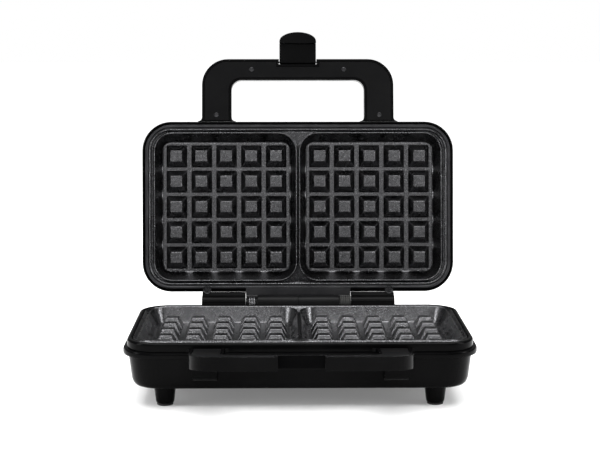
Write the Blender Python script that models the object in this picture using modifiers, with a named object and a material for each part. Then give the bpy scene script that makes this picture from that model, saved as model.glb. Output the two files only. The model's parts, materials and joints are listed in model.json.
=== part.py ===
"""Double Belgian waffle maker with its lid open on the hinge stop.

+X is the appliance's right as its user sees it, -Y is the handle side, +Z is up, the feet stand on Z = 0.
Sizes below are in millimetres, and MM turns them into Blender's metres. Three frames are used:
the base frame (middle of the base's rim, floor height), the lid frame (on the hinge axis, with the lid
closed) and the plate frame (middle of a plate's face, with the plate's body below it).
"""
import math

import bmesh
import bpy
from mathutils import Matrix

MM = 0.001

# Driving heights and angles
PARTING = 60.0            # top of the base's rim
LID_GAP = 0.6             # space between the two rims when the lid is closed
HOUSING_FLOOR = 18.0      # underside of the base housing
OPEN_ANGLE = 98.4         # how far the lid turns back, in degrees
MIDDLE_BACK = 7.32        # the origin lies this far behind the middle of the base

# Outlines: width, depth, corner radius
RIM = (308.0, 170.0, 28.0)
LIP = (315.0, 177.0, 31.0)
WALL_TOP = (306.0, 168.0, 28.0)
WALL_LOW = (301.0, 163.0, 26.0)
WALL_CURVE = (297.5, 160.0, 24.5)
BOTTOM = (291.0, 156.0, 22.0)
LID = (311.0, 170.0, 29.0)
OPENING = (299.6, 158.4, 23.0)
PLATE = (297.8, 155.4, 22.0)
PLATE_BODY = (288.6, 149.2, 19.0)
PLATE_UNDERSIDE = (279.0, 137.0, 13.0)
TRAY = (274.0, 134.0, 16.0)
WALL = 2.5
CORNER_STEPS = 5

# Waffle plates
PLATE_EDGE = 3.0          # thickness of a plate's flange
CAVITY_DEPTH = 14.5
PLATE_DEPTH = CAVITY_DEPTH + 3.0
CAVITY_RIM = (141.4, 147.0, 18.0)
CAVITY_FLOOR = (129.0, 130.8, 9.0)
CAVITY_RIM_X = 72.55
CAVITY_FLOOR_X = 71.95
PEG_PITCH = (25.04, 25.5)
PEG_BASE = (20.1, 21.7)
PEG_TOP = (11.2, 11.0)
PEG_HEIGHT = 9.4
PEGS_A_SIDE = 5
ELEMENT_RADIUS = 3.3
ELEMENT_DEPTH = PLATE_DEPTH + 0.3 + ELEMENT_RADIUS

# Handles: a U in plan, with its face flat near the root and then rising towards the front
GRIP_HALF = 95.85
GRIP_REACH = 63.0
GRIP_CORNER = 26.0
GRIP_THICK = 12.0
HOLE_HALF = 66.4
HOLE_REACH = 41.7
HOLE_CORNER = 10.0
ROOT_FILLET = 4.0
CREASE = 11.0
COVER_INSET = 2.4
COVER_THICK = 1.7
BASE_GRIP_TOP = 56.0
BASE_GRIP_RISE = 0.1388
LID_GRIP_RISE = 0.0731

# Hinge
AXIS_BACK = 12.35         # hinge axis behind the rims' back edge
AXIS_Z = 57.6
PIN_RADIUS = 2.5
RUNNING_GAP = 0.3
BARREL_RADIUS = 9.0
BARREL_HALF = 41.0
SPRING_BOSS = 6.4         # radius of the boss that carries the spring
SPRING_RADIUS = 7.6
SPRING_WIRE = 0.7
COLLAR_RADIUS = 8.3
ROLL_RADIUS = 9.5         # inside of the hinge plate's rolled edge
ROLL_START = 161.0        # angles of the rolled edge round the axis
ROLL_END = 125.0
ARM_INNER = 52.5
ARM_OUTER = 95.8
HINGE_Y = RIM[1] / 2 + AXIS_BACK

# Latch
LATCH_HALF = 18.3
LATCH_REACH = 29.2        # from the latch's pin to its tip
LATCH_LEDGE = 17.8        # from the pin to the hook's ledge
LATCH_HALF_THICK = 2.2
HOOK_DROP = 9.0
LATCH_PIN_INSET = 2.5     # pin behind the lid handle's front edge
LATCH_PIN_LIFT = 4.2      # pin above the lid handle's inner face
LATCH_PIN_RADIUS = 1.0

# Feet and fastenings
FOOT_X = 120.4
FOOT_FRONT = -63.0
FOOT_REAR = 68.0
PAD_HEIGHT = 1.7
SCREW_RADIUS = 1.5
SCREW_HEAD = 3.0
GRIP_SCREW_X = 46.0       # screws in the handles' bars
GRIP_SCREW_BACK = 10.4    # behind the handles' front edge
LEG_SCREW_X = 81.5
LEG_SCREW_Y = -7.0
BOTTOM_SCREW_X = 137.0
BOTTOM_SCREW_Y = 48.0
GLAND_X = 112.0
GLAND_Y = 83.6
GLAND_Z = 34.0

# Lid frame positions
LID_FACE = PARTING + LID_GAP - AXIS_Z
LID_MIDDLE = -HINGE_Y
LID_FRONT = -(AXIS_BACK + RIM[1])
LID_TOP = 43.0            # crown of the lid above the hinge axis
HINGE_PLATE = ((-52.2, -AXIS_BACK - 4.4, LID_FACE), (52.2, -AXIS_BACK + 1.2, LID_FACE + 1.2))
ARM_SCREW_X = 91.0
ARM_SCREW_Y = -AXIS_BACK - 1.6
ARM_SCREW_HEAD = 4.2
LAMPS = (("power", -11.0, "red_lens"), ("ready", 11.0, "green_lens"))
LAMP_Y = LID_FRONT + 30.0
LENS_Z = LID_TOP - 1.0

FINISHES = {
    "black_plastic": ((0.012, 0.012, 0.013), 0.32, 0.0),
    "satin_plastic": ((0.018, 0.018, 0.019), 0.45, 0.0),
    "nonstick": ((0.045, 0.045, 0.048), 0.38, 0.35),
    "grey_trim": ((0.060, 0.060, 0.063), 0.40, 0.6),
    "steel": ((0.62, 0.62, 0.63), 0.28, 1.0),
    "dull_steel": ((0.42, 0.42, 0.43), 0.45, 1.0),
    "tray_steel": ((0.55, 0.55, 0.56), 0.38, 1.0),
    "rubber": ((0.02, 0.02, 0.02), 0.85, 0.0),
    "ceramic": ((0.75, 0.72, 0.66), 0.55, 0.0),
    "red_lens": ((0.55, 0.02, 0.015), 0.18, 0.0),
    "green_lens": ((0.02, 0.35, 0.05), 0.18, 0.0),
    "lamp_glass": ((0.85, 0.80, 0.74), 0.12, 0.0),
}


def make_collection(name):
    group = bpy.data.collections.new(name)
    bpy.context.scene.collection.children.link(group)
    return group


for leftover in list(bpy.data.objects):
    bpy.data.objects.remove(leftover, do_unlink=True)
PARTS = make_collection("waffle_maker")
CUTTERS = make_collection("cutters")


# ---------------------------------------------------------------- shape helpers

def add_mesh(name, shape):
    """Turn a finished bmesh into an object in the parts collection."""
    bmesh.ops.recalc_face_normals(shape, faces=shape.faces)
    mesh = bpy.data.meshes.new(name)
    shape.to_mesh(mesh)
    shape.free()
    item = bpy.data.objects.new(name, mesh)
    PARTS.objects.link(item)
    return item


def ring(size, z, inset=0.0, x=0.0, y=0.0):
    """Points round a rounded rectangle at height z."""
    width, depth, radius = size
    radius = max(radius - inset, 0.5)
    reach_x = width / 2 - inset - radius
    reach_y = depth / 2 - inset - radius
    points = []
    for corner, (side_x, side_y) in enumerate(((1, 1), (-1, 1), (-1, -1), (1, -1))):
        for step in range(CORNER_STEPS + 1):
            turn = math.pi / 2 * (corner + step / CORNER_STEPS)
            along_x = x + side_x * reach_x + radius * math.cos(turn)
            along_y = y + side_y * reach_y + radius * math.sin(turn)
            points.append((along_x * MM, along_y * MM, z * MM))
    return points


def loft(name, rings, hollow=False):
    """Skin a stack of rings. A hollow stack closes on its first ring, and any other is capped."""
    shape = bmesh.new()
    loops = [[shape.verts.new(point) for point in points] for points in rings]
    pairs = list(zip(loops, loops[1:]))
    if hollow:
        pairs.append((loops[-1], loops[0]))
    else:
        shape.faces.new(loops[0])
        shape.faces.new(loops[-1])
    for low, high in pairs:
        for index in range(len(low)):
            shape.faces.new((low[index - 1], low[index], high[index], high[index - 1]))
    return add_mesh(name, shape)


def box(name, low, high):
    shape = bmesh.new()
    centre = [(a + b) / 2 * MM for a, b in zip(low, high)]
    spans = [(b - a) * MM for a, b in zip(low, high)]
    place = Matrix.Translation(centre) @ Matrix.Diagonal((*spans, 1.0))
    bmesh.ops.create_cube(shape, size=1.0, matrix=place)
    return add_mesh(name, shape)


def rod(name, radius, start, end, sides=16):
    """Cylinder between two points that share two coordinates."""
    shape = bmesh.new()
    axis = [b - a for a, b in zip(start, end)]
    length = sum(abs(part) for part in axis)
    turn = Matrix.Identity(4)
    if axis[0]:
        turn = Matrix.Rotation(math.copysign(math.pi / 2, axis[0]), 4, "Y")
    elif axis[1]:
        turn = Matrix.Rotation(-math.copysign(math.pi / 2, axis[1]), 4, "X")
    elif axis[2] < 0:
        turn = Matrix.Rotation(math.pi, 4, "X")
    middle = Matrix.Translation([(a + b) / 2 * MM for a, b in zip(start, end)])
    bmesh.ops.create_cone(shape, cap_ends=True, segments=sides, radius1=radius * MM, radius2=radius * MM,
                          depth=length * MM, matrix=middle @ turn)
    return add_mesh(name, shape)


def turned(name, profile, steps=16):
    """Revolve (radius, height) points, listed from the top to the bottom of the outer side, about Z."""
    mesh = bpy.data.meshes.new(name)
    points = [(radius * MM, 0.0, height * MM) for radius, height in profile]
    edges = [(index, index + 1) for index in range(len(points) - 1)]
    if profile[0][0] > 0:
        edges.append((len(points) - 1, 0))
    mesh.from_pydata(points, edges, [])
    item = bpy.data.objects.new(name, mesh)
    PARTS.objects.link(item)
    spin = item.modifiers.new("turned", "SCREW")
    spin.steps = steps
    spin.render_steps = steps
    spin.use_merge_vertices = True
    spin.merge_threshold = 0.00001
    return item


def sheet_cut(name, outline, low, high):
    """Flat outline in XY, extruded from low to high along Z, as a mesh."""
    curve = bpy.data.curves.new(name, "CURVE")
    curve.dimensions = "2D"
    curve.fill_mode = "BOTH"
    curve.extrude = (high - low) / 2 * MM
    line = curve.splines.new("POLY")
    line.points.add(len(outline) - 1)
    for point, (x, y) in zip(line.points, outline):
        point.co = (x * MM, y * MM, 0.0, 1.0)
    line.use_cyclic_u = True
    drawn = bpy.data.objects.new(name, curve)
    PARTS.objects.link(drawn)
    solid = bpy.data.meshes.new_from_object(drawn.evaluated_get(bpy.context.evaluated_depsgraph_get()))
    bpy.data.objects.remove(drawn, do_unlink=True)
    bpy.data.curves.remove(curve)
    shape = bmesh.new()
    shape.from_mesh(solid)
    bpy.data.meshes.remove(solid)
    bmesh.ops.remove_doubles(shape, verts=shape.verts, dist=0.000001)
    bmesh.ops.translate(shape, verts=shape.verts, vec=(0.0, 0.0, (low + high) / 2 * MM))
    return add_mesh(name, shape)


def side_cut(name, outline, low, high):
    """Outline in YZ, extruded from low to high along X."""
    item = sheet_cut(name, outline, low, high)
    item.data.transform(Matrix(((0, 0, 1, 0), (1, 0, 0, 0), (0, 1, 0, 0), (0, 0, 0, 1))))
    return item


def arc(x, y, radius, start, end, steps=5, radius_y=None):
    """Points along an arc, with its angles in degrees."""
    points = []
    for step in range(steps + 1):
        turn = math.radians(start + (end - start) * step / steps)
        points.append((x + radius * math.cos(turn), y + (radius_y or radius) * math.sin(turn)))
    return points


def wire(name, points, radius, resolution=1):
    """Round wire or tube through the points."""
    curve = bpy.data.curves.new(name, "CURVE")
    curve.dimensions = "3D"
    curve.bevel_depth = radius * MM
    curve.bevel_resolution = resolution
    curve.use_fill_caps = True
    line = curve.splines.new("POLY")
    line.points.add(len(points) - 1)
    for point, place in zip(line.points, points):
        point.co = (*[part * MM for part in place], 1.0)
    item = bpy.data.objects.new(name, curve)
    PARTS.objects.link(item)
    return item


def combine(item, tool, operation):
    """Cut or join item with a tool that is built in the item's own coordinates."""
    PARTS.objects.unlink(tool)
    CUTTERS.objects.link(tool)
    tool.parent = item
    tool.hide_render = True
    tool.display_type = "WIRE"
    step = item.modifiers.new(tool.name, "BOOLEAN")
    step.operation = operation
    step.object = tool


def cut(item, tool):
    combine(item, tool, "DIFFERENCE")


def join(item, tool):
    combine(item, tool, "UNION")


def finish(item, parent, look, place=(0.0, 0.0, 0.0), turn=(0.0, 0.0, 0.0)):
    """Give the item its own material, its place in its parent's frame, and smooth shading."""
    colour, roughness, metallic = FINISHES[look]
    paint = bpy.data.materials.new(item.name + "_" + look)
    paint.use_nodes = True
    shader = paint.node_tree.nodes["Principled BSDF"]
    shader.inputs["Base Color"].default_value = (*colour, 1.0)
    shader.inputs["Roughness"].default_value = roughness
    shader.inputs["Metallic"].default_value = metallic
    item.data.materials.append(paint)
    if item.type == "MESH" and item.data.polygons:
        item.data.shade_smooth()
        item.data.set_sharp_from_angle(angle=math.radians(35))
    item.parent = parent
    item.location = [part * MM for part in place]
    item.rotation_euler = [math.radians(part) for part in turn]
    return item


def empty(name, parent, place, turn=(0.0, 0.0, 0.0)):
    frame = bpy.data.objects.new(name, None)
    PARTS.objects.link(frame)
    frame.parent = parent
    frame.location = [part * MM for part in place]
    frame.rotation_euler = [math.radians(part) for part in turn]
    return frame


# ---------------------------------------------------------------- plates and heating

def cavity_ring(side, z):
    """Outline of one baking cavity at height z, on the straight taper from its rim to its floor."""
    share = -z / CAVITY_DEPTH
    size = [rim + (floor - rim) * share for rim, floor in zip(CAVITY_RIM, CAVITY_FLOOR)]
    middle = CAVITY_RIM_X + (CAVITY_FLOOR_X - CAVITY_RIM_X) * share
    return ring(size, z, x=side * middle)


def pegs(name, side):
    """The pegs of one cavity, sunk a little into its floor."""
    shape = bmesh.new()
    sunk = 0.6
    for column in range(PEGS_A_SIDE):
        for row in range(PEGS_A_SIDE):
            x = side * CAVITY_FLOOR_X + (column - (PEGS_A_SIDE - 1) / 2) * PEG_PITCH[0]
            y = (row - (PEGS_A_SIDE - 1) / 2) * PEG_PITCH[1]
            for vert in bmesh.ops.create_cube(shape, size=1.0)["verts"]:
                upper = vert.co.z > 0
                width, depth = PEG_TOP if upper else PEG_BASE
                z = -CAVITY_DEPTH + (PEG_HEIGHT if upper else -sunk)
                vert.co = ((x + vert.co.x * width) * MM, (y + vert.co.y * depth) * MM, z * MM)
    return add_mesh(name, shape)


def waffle_plate(name):
    """Cast plate with a stepped flange and two cavities full of pegs."""
    step_down = 0.8
    step_in = 2.5
    plate = loft(name, [
        ring(PLATE_UNDERSIDE, -PLATE_DEPTH),
        ring(PLATE_BODY, -PLATE_EDGE),
        ring(PLATE, -PLATE_EDGE),
        ring(PLATE, -step_down),
        ring(PLATE, -step_down, inset=step_in),
        ring(PLATE, 0.0, inset=step_in + 0.3),
    ])
    for side, hand in ((-1, "left"), (1, "right")):
        hollow = [cavity_ring(side, -CAVITY_DEPTH), cavity_ring(side, 1.0)]
        cut(plate, loft(name + "_cavity_" + hand, hollow))
        join(plate, pegs(name + "_pegs_" + hand, side))
    return plate


def element_route():
    """Tube that runs round under both cavities, open at the back between them."""
    reach_x, reach_y, bend, gap = 96.0, 30.0, 22.0, 14.0
    flat = [(-gap, reach_y + bend)]
    flat += arc(-reach_x, reach_y, bend, 90, 180)
    flat += arc(-reach_x, -reach_y, bend, 180, 270)
    flat += arc(reach_x, -reach_y, bend, 270, 360)
    flat += arc(reach_x, reach_y, bend, 0, 90)
    flat += [(gap, reach_y + bend)]
    return [(x, y, -ELEMENT_DEPTH) for x, y in flat]


def element_strap(name, x, y):
    """Omega strap that holds the element up against the plate."""
    inner = ELEMENT_RADIUS + 0.3
    outer = inner + 1.0
    top = -PLATE_DEPTH - 0.3
    foot = top - 1.0
    lean = math.degrees(math.asin((foot + ELEMENT_DEPTH) / outer))
    lean_in = math.degrees(math.asin((top + ELEMENT_DEPTH) / inner * 0.98))
    outline = [(y - 10, top), (y - 10, foot)]
    outline += arc(y, -ELEMENT_DEPTH, outer, 180 - lean, 360 + lean, steps=8)
    outline += [(y + 10, foot), (y + 10, top)]
    outline += arc(y, -ELEMENT_DEPTH, inner, 360 + lean_in, 180 - lean_in, steps=8)
    return side_cut(name, outline, x - 5, x + 5)


def heat_tray(name):
    """Thin steel tray that throws the heat back at the plate."""
    rim_z = -PLATE_DEPTH - 0.8
    floor_z = -PLATE_DEPTH - 12.2
    thick = 0.8
    return loft(name, [
        ring(TRAY, floor_z + thick, inset=8.8),
        ring(TRAY, rim_z - thick, inset=thick),
        ring(TRAY, rim_z, inset=-1.6),
        ring(TRAY, rim_z - thick, inset=-1.6),
        ring(TRAY, floor_z, inset=8.0),
    ])


def plate_group(level, frame):
    """Everything that hangs from one plate, in the plate frame."""
    finish(waffle_plate(level + "_plate"), frame, "nonstick")
    element = wire(level + "_heating_element", element_route(), ELEMENT_RADIUS, resolution=2)
    finish(element, frame, "dull_steel")
    for side, hand in ((-1, "left"), (1, "right")):
        strap = element_strap(f"{level}_element_strap_{hand}", side * CAVITY_FLOOR_X, -52.0)
        finish(strap, frame, "steel")
    finish(heat_tray(level + "_heat_tray"), frame, "tray_steel")
    fuse_z = -PLATE_DEPTH - 2.4
    fuse = rod(level + "_thermal_fuse", 2.0, (-6, -24, fuse_z), (6, -24, fuse_z), sides=12)
    finish(fuse, frame, "ceramic")


# ---------------------------------------------------------------- handles

def grip_outline(inset, root, fillet=0.0):
    """U-shaped plan of a handle, from its left root round the front to its right root and back inside."""
    half = GRIP_HALF - inset
    front = -GRIP_REACH + inset
    corner = GRIP_CORNER - inset
    hole = HOLE_HALF + inset
    hole_front = -HOLE_REACH - inset
    hole_corner = HOLE_CORNER + inset
    line = []
    if fillet:
        line += arc(-half - fillet, root - fillet, fillet, 90, 0, steps=3)
    else:
        line += [(-half, root)]
    line += arc(-half + corner, front + corner, corner, 180, 270, steps=6)
    line += arc(half - corner, front + corner, corner, 270, 360, steps=6)
    if fillet:
        line += arc(half + fillet, root - fillet, fillet, 180, 90, steps=3)
        line += arc(hole - fillet, root - fillet, fillet, 90, 0, steps=3)
    else:
        line += [(half, root), (hole, root)]
    line += arc(hole - hole_corner, hole_front + hole_corner, hole_corner, 0, -90, steps=4)
    line += arc(-hole + hole_corner, hole_front + hole_corner, hole_corner, 270, 180, steps=4)
    if fillet:
        line += arc(-hole + fillet, root - fillet, fillet, 180, 90, steps=3)
    else:
        line += [(-hole, root)]
    return line


def raise_front(item, rise):
    """Bend a handle piece so that it climbs by rise for each millimetre in front of the crease."""
    shape = bmesh.new()
    shape.from_mesh(item.data)
    crease = -CREASE * MM
    everything = shape.verts[:] + shape.edges[:] + shape.faces[:]
    bmesh.ops.bisect_plane(shape, geom=everything, dist=0.0000001,
                           plane_co=(0, crease, 0), plane_no=(0, 1, 0))
    for vert in shape.verts:
        vert.co.z += rise * max(0.0, crease - vert.co.y)
    shape.to_mesh(item.data)
    shape.free()
    return item


def grip_body(name, side, rise, root):
    """Handle body with its face at z = 0 and its thickness on the given side, recessed for a cover."""
    low, high = sorted((0.0, side * GRIP_THICK))
    body = raise_front(sheet_cut(name, grip_outline(0.0, root, ROOT_FILLET), low, high), rise)
    low, high = sorted((-side * 1.0, side * (COVER_THICK + 0.3)))
    recess = sheet_cut(name + "_recess", grip_outline(COVER_INSET, -1.2), low, high)
    cut(body, raise_front(recess, rise))
    return body


def grip_cover(name, side, rise):
    """Inset cover that closes the handle's face."""
    low, high = sorted((0.0, side * COVER_THICK))
    return raise_front(sheet_cut(name, grip_outline(COVER_INSET + 0.3, -1.5), low, high), rise)


def face_height(y, rise):
    """Height of a handle's face at a distance y in front of its root."""
    return rise * max(0.0, -y - CREASE)


def grip_screw_pose(x, y, side, rise):
    """Place and turn of a screw that stands square on a handle's face."""
    lean = math.degrees(math.atan(rise)) if -y > CREASE else 0.0
    turn = (180.0 - lean, 0.0, 0.0) if side > 0 else (-lean, 0.0, 0.0)
    return (x, y, face_height(y, rise) - side * 0.2), turn


def grip_screw(name, frame, pose):
    """Small pan-head screw through a handle's cover."""
    profile = [(0.0, 0.6), (1.6, 0.5), (2.3, 0.0), (1.1, 0.0), (1.1, -8.0), (0.0, -8.0)]
    screw = turned(name, profile, steps=12)
    finish(screw, frame, "dull_steel", *pose)


def grip_screw_hole(item, name, pose):
    """Clearance hole for a grip screw's shank."""
    tool = rod(name, 1.5, (0, 0, -9.5), (0, 0, 2.0), sides=12)
    cut(item, tool)
    place, turn = pose
    tool.location = [part * MM for part in place]
    tool.rotation_euler = [math.radians(part) for part in turn]


# ---------------------------------------------------------------- base

def base_housing():
    housing = loft("base_housing", [
        ring(BOTTOM, HOUSING_FLOOR),
        ring(WALL_CURVE, 20.4),
        ring(WALL_LOW, 24.5),
        ring(WALL_TOP, 46.4),
        ring(LIP, 46.4, inset=0.9),
        ring(LIP, 47.3),
        ring(LIP, 51.3),
        ring(LIP, 52.2, inset=0.9),
        ring(WALL_TOP, 52.2, inset=WALL),
        ring(WALL_TOP, 46.4, inset=WALL),
        ring(WALL_LOW, 23.3, inset=WALL),
        ring(BOTTOM, 23.3, inset=14.0),
        ring(BOTTOM, 20.8, inset=14.0),
        ring(BOTTOM, 20.8, inset=2.3),
        ring(BOTTOM, HOUSING_FLOOR, inset=2.3),
    ], hollow=True)
    for index, (x, y) in enumerate(bottom_screw_places()):
        name = f"housing_screw_hole_{index}"
        cut(housing, rod(name, SCREW_RADIUS + 0.3, (x, y, 20.0), (x, y, 24.0), sides=12))
    inside, outside = (GLAND_X, 70.0, GLAND_Z), (GLAND_X, 95.0, GLAND_Z)
    cut(housing, rod("housing_gland_hole", 6.3, inside, outside, sides=20))
    return housing


def bottom_screw_places():
    return [(x, y) for x in (-BOTTOM_SCREW_X, BOTTOM_SCREW_X) for y in (-BOTTOM_SCREW_Y, BOTTOM_SCREW_Y)]


def bottom_cover():
    """Flat cover with rows of air slots and its screw holes."""
    gap = WALL + 0.1
    cover = loft("bottom_cover", [ring(BOTTOM, HOUSING_FLOOR, inset=gap), ring(BOTTOM, 20.5, inset=gap)])
    for index, (x, y) in enumerate(bottom_screw_places()):
        name = f"cover_screw_hole_{index}"
        cut(cover, rod(name, SCREW_RADIUS + 0.3, (x, y, 17.0), (x, y, 22.0), sides=12))
    for side in (-1, 1):
        left, right = sorted((side * 40.0, side * 84.0))
        for row in range(-2, 3):
            y = 12.0 * row
            cut(cover, box(f"cover_slot_{side}_{row}", (left, y - 1.5, 17.0), (right, y + 1.5, 22.0)))
    return cover


def base_rim_frame():
    """Bezel on top of the housing that carries the lower plate's flange."""
    return loft("base_rim_frame", [
        ring(RIM, 52.5),
        ring(RIM, PARTING - 1.0),
        ring(RIM, PARTING, inset=1.0),
        ring(OPENING, PARTING),
        ring(OPENING, PARTING - PLATE_EDGE - 0.3),
        ring(OPENING, PARTING - PLATE_EDGE - 0.3, inset=3.8),
        ring(OPENING, 52.5, inset=3.8),
    ], hollow=True)


def leg_bracket(name, side):
    """Tapered rib under a handle leg, against the housing's front wall."""
    front = RIM[1] / 2
    outline = [(front - 84.4, 2.0 - GRIP_THICK), (-12.0, 2.0 - GRIP_THICK), (-4.5, -27.0),
               (-1.0, -29.0), (front - 82.3, -29.0)]
    low, high = sorted((side * 73.0, side * 94.0))
    return side_cut(name, outline, low, high)


def base_grip(frame):
    """Handle body, cover and screws in the handle frame: root at y = 0, face at z = 0."""
    body = grip_body("base_handle", -1, BASE_GRIP_RISE, -0.3)
    for side, hand in ((-1, "left"), (1, "right")):
        join(body, leg_bracket("leg_bracket_" + hand, side))
    lip_y = RIM[1] / 2
    lip_low = 46.4 - BASE_GRIP_TOP - 0.3
    lip_high = 52.2 - BASE_GRIP_TOP + 0.3
    clearance = [ring(LIP, z, inset=-0.3, y=lip_y) for z in (lip_low, lip_high)]
    cut(body, loft("grip_lip_clearance", clearance))
    cover = grip_cover("base_handle_cover", -1, BASE_GRIP_RISE)
    for item in (body, cover):
        cut(item, latch_notch(item.name + "_notch"))
    for side, hand in ((-1, "left"), (1, "right")):
        pose = grip_screw_pose(side * GRIP_SCREW_X, -GRIP_REACH + GRIP_SCREW_BACK, -1, BASE_GRIP_RISE)
        for item in (body, cover):
            grip_screw_hole(item, f"{item.name}_screw_hole_{hand}", pose)
        grip_screw("base_handle_screw_" + hand, frame, pose)
    finish(body, frame, "black_plastic")
    finish(cover, frame, "satin_plastic")


def latch_notch(name):
    """Slant-backed notch in the base handle where the latch swings in, with a seat for its hook below."""
    front = -GRIP_REACH
    low = face_height(front, BASE_GRIP_RISE) - GRIP_THICK
    back = front + 8.5
    seat = [(front - 2, low - 4), (front + 12.2, low - 4), (front + 12.2, low + 0.1), (back, low + 0.1)]
    slant = [(back, low + 1.5), (front + 16, low + 13), (front + 16, low + 16), (front - 2, low + 16)]
    outline = seat + slant
    return side_cut(name, outline, -19.7, 19.7)


def foot(name, x, y, frame):
    top = HOUSING_FLOOR - 0.3
    low = PAD_HEIGHT + 0.3
    profile = [(0.0, top), (10.0, top), (9.4, 14.0), (8.0, low + 0.6), (7.4, low), (0.0, low)]
    finish(turned(name, profile, steps=20), frame, "black_plastic", (x, y, 0.0))


def foot_pad(name, x, y, frame):
    finish(rod(name, 7.2, (0, 0, 0), (0, 0, PAD_HEIGHT), sides=20), frame, "rubber", (x, y, 0.0))


def hinge_block():
    """Barrel on the back of the base, with a boss for the spring and a foot under the lip on the wall."""
    outline = arc(0.0, 0.0, BARREL_RADIUS, -30, 195, steps=15)
    outline += [(-8.4, -5.0), (-8.4, -11.6), (-13.0, -11.6), (-14.9, -28.0), (-9.0, -29.5), (3.0, -17.0)]
    block = side_cut("hinge_block", outline, -BARREL_HALF, BARREL_HALF)
    boss_end = -ARM_INNER + 0.9
    join(block, rod("hinge_spring_boss", SPRING_BOSS, (boss_end, 0, 0), (-BARREL_HALF + 0.5, 0, 0), sides=20))
    cut(block, rod("hinge_block_bore", PIN_RADIUS + RUNNING_GAP, (-60, 0, 0), (60, 0, 0), sides=20))
    return block


def hinge_spring():
    """Coil spring round its boss, beside the barrel."""
    turns, steps = 3, 16
    start, pitch, radius = -49.6, 2.2, SPRING_RADIUS
    points = []
    for step in range(turns * steps + 1):
        turn = 2 * math.pi * step / steps
        points.append((start + pitch * step / steps, radius * math.sin(turn), -radius * math.cos(turn)))
    return wire("hinge_spring", points, SPRING_WIRE, resolution=1)


def ribbed_collar(name, start, end):
    """Ribbed rubber collar round the hinge pin that leads the lid's wires across the joint."""
    ribs = 3
    inner, outer = PIN_RADIUS + 0.5, COLLAR_RADIUS
    pitch = (end - start) / ribs
    profile = []
    for rib in range(ribs):
        top = end - rib * pitch
        profile += [(outer, top), (outer, top - pitch * 0.6), (outer - 1.0, top - pitch * 0.6)]
        if rib < ribs - 1:
            profile += [(outer - 1.0, top - pitch)]
    profile += [(outer - 1.0, start), (inner, start), (inner, end)]
    return turned(name, profile, steps=18)


def cord_gland():
    """Strain-relief bush in the housing's back wall, with a bore for the cord."""
    profile = [(5.0, 13.0), (5.4, 12.0), (5.9, 3.0), (8.2, 2.0), (8.2, 0.3), (6.0, 0.3), (6.0, -5.0),
               (3.4, -5.0), (3.4, 13.0)]
    return turned("cord_gland", profile, steps=20)


def terminal_block():
    """Two-way ceramic connector for the mains wires, in front of the gland."""
    block = box("terminal_block", (GLAND_X - 14, 52, 24.2), (GLAND_X + 14, 66, 29.0))
    for side in (-1, 1):
        x = GLAND_X + side * 7
        cut(block, rod(f"terminal_wire_hole_{side}", 1.6, (x, 50, 26.8), (x, 68, 26.8), sides=10))
        cut(block, rod(f"terminal_screw_hole_{side}", 1.3, (x, 59, 26.8), (x, 59, 30.0), sides=10))
    return block


def build_base(frame):
    finish(base_housing(), frame, "black_plastic")
    finish(bottom_cover(), frame, "satin_plastic")
    finish(base_rim_frame(), frame, "black_plastic")
    plate_group("lower", empty("lower_plate_frame", frame, (0, 0, PARTING)))
    profile = [(0.0, -0.3), (11.0, -0.3), (11.0, -1.5), (8.5, -1.5), (8.5, -7.5), (0.0, -7.5)]
    control = turned("lower_thermostat", profile)
    finish(control, frame, "ceramic", (0, 0, PARTING - PLATE_DEPTH))
    profile = [(0.0, 8.0), (SCREW_RADIUS, 8.0), (SCREW_RADIUS, 0.0), (SCREW_HEAD, 0.0), (SCREW_HEAD * 0.8, -1.4),
               (0.0, -1.6)]
    for index, (x, y) in enumerate(bottom_screw_places(), start=1):
        screw = turned(f"bottom_screw_{index}", profile, steps=12)
        finish(screw, frame, "dull_steel", (x, y, HOUSING_FLOOR - 0.3))
    for side, hand in ((-1, "left"), (1, "right")):
        for end, y in (("front", FOOT_FRONT), ("rear", FOOT_REAR)):
            foot(f"foot_{end}_{hand}", side * FOOT_X, y, frame)
            foot_pad(f"foot_pad_{end}_{hand}", side * FOOT_X, y, frame)
    base_grip(empty("base_handle_frame", frame, (0, -RIM[1] / 2, BASE_GRIP_TOP)))
    finish(cord_gland(), frame, "rubber", (GLAND_X, GLAND_Y, GLAND_Z), (-90, 0, 0))
    finish(terminal_block(), frame, "ceramic")
    axis = (0, HINGE_Y, AXIS_Z)
    finish(hinge_block(), frame, "satin_plastic", axis)
    finish(rod("hinge_pin", PIN_RADIUS, (-95, 0, 0), (95, 0, 0), sides=16), frame, "steel", axis)
    finish(hinge_spring(), frame, "steel", axis)
    finish(ribbed_collar("lead_collar_base", 41.4, 46.6), frame, "rubber", axis, (0, 90, 0))


# ---------------------------------------------------------------- lid

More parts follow.
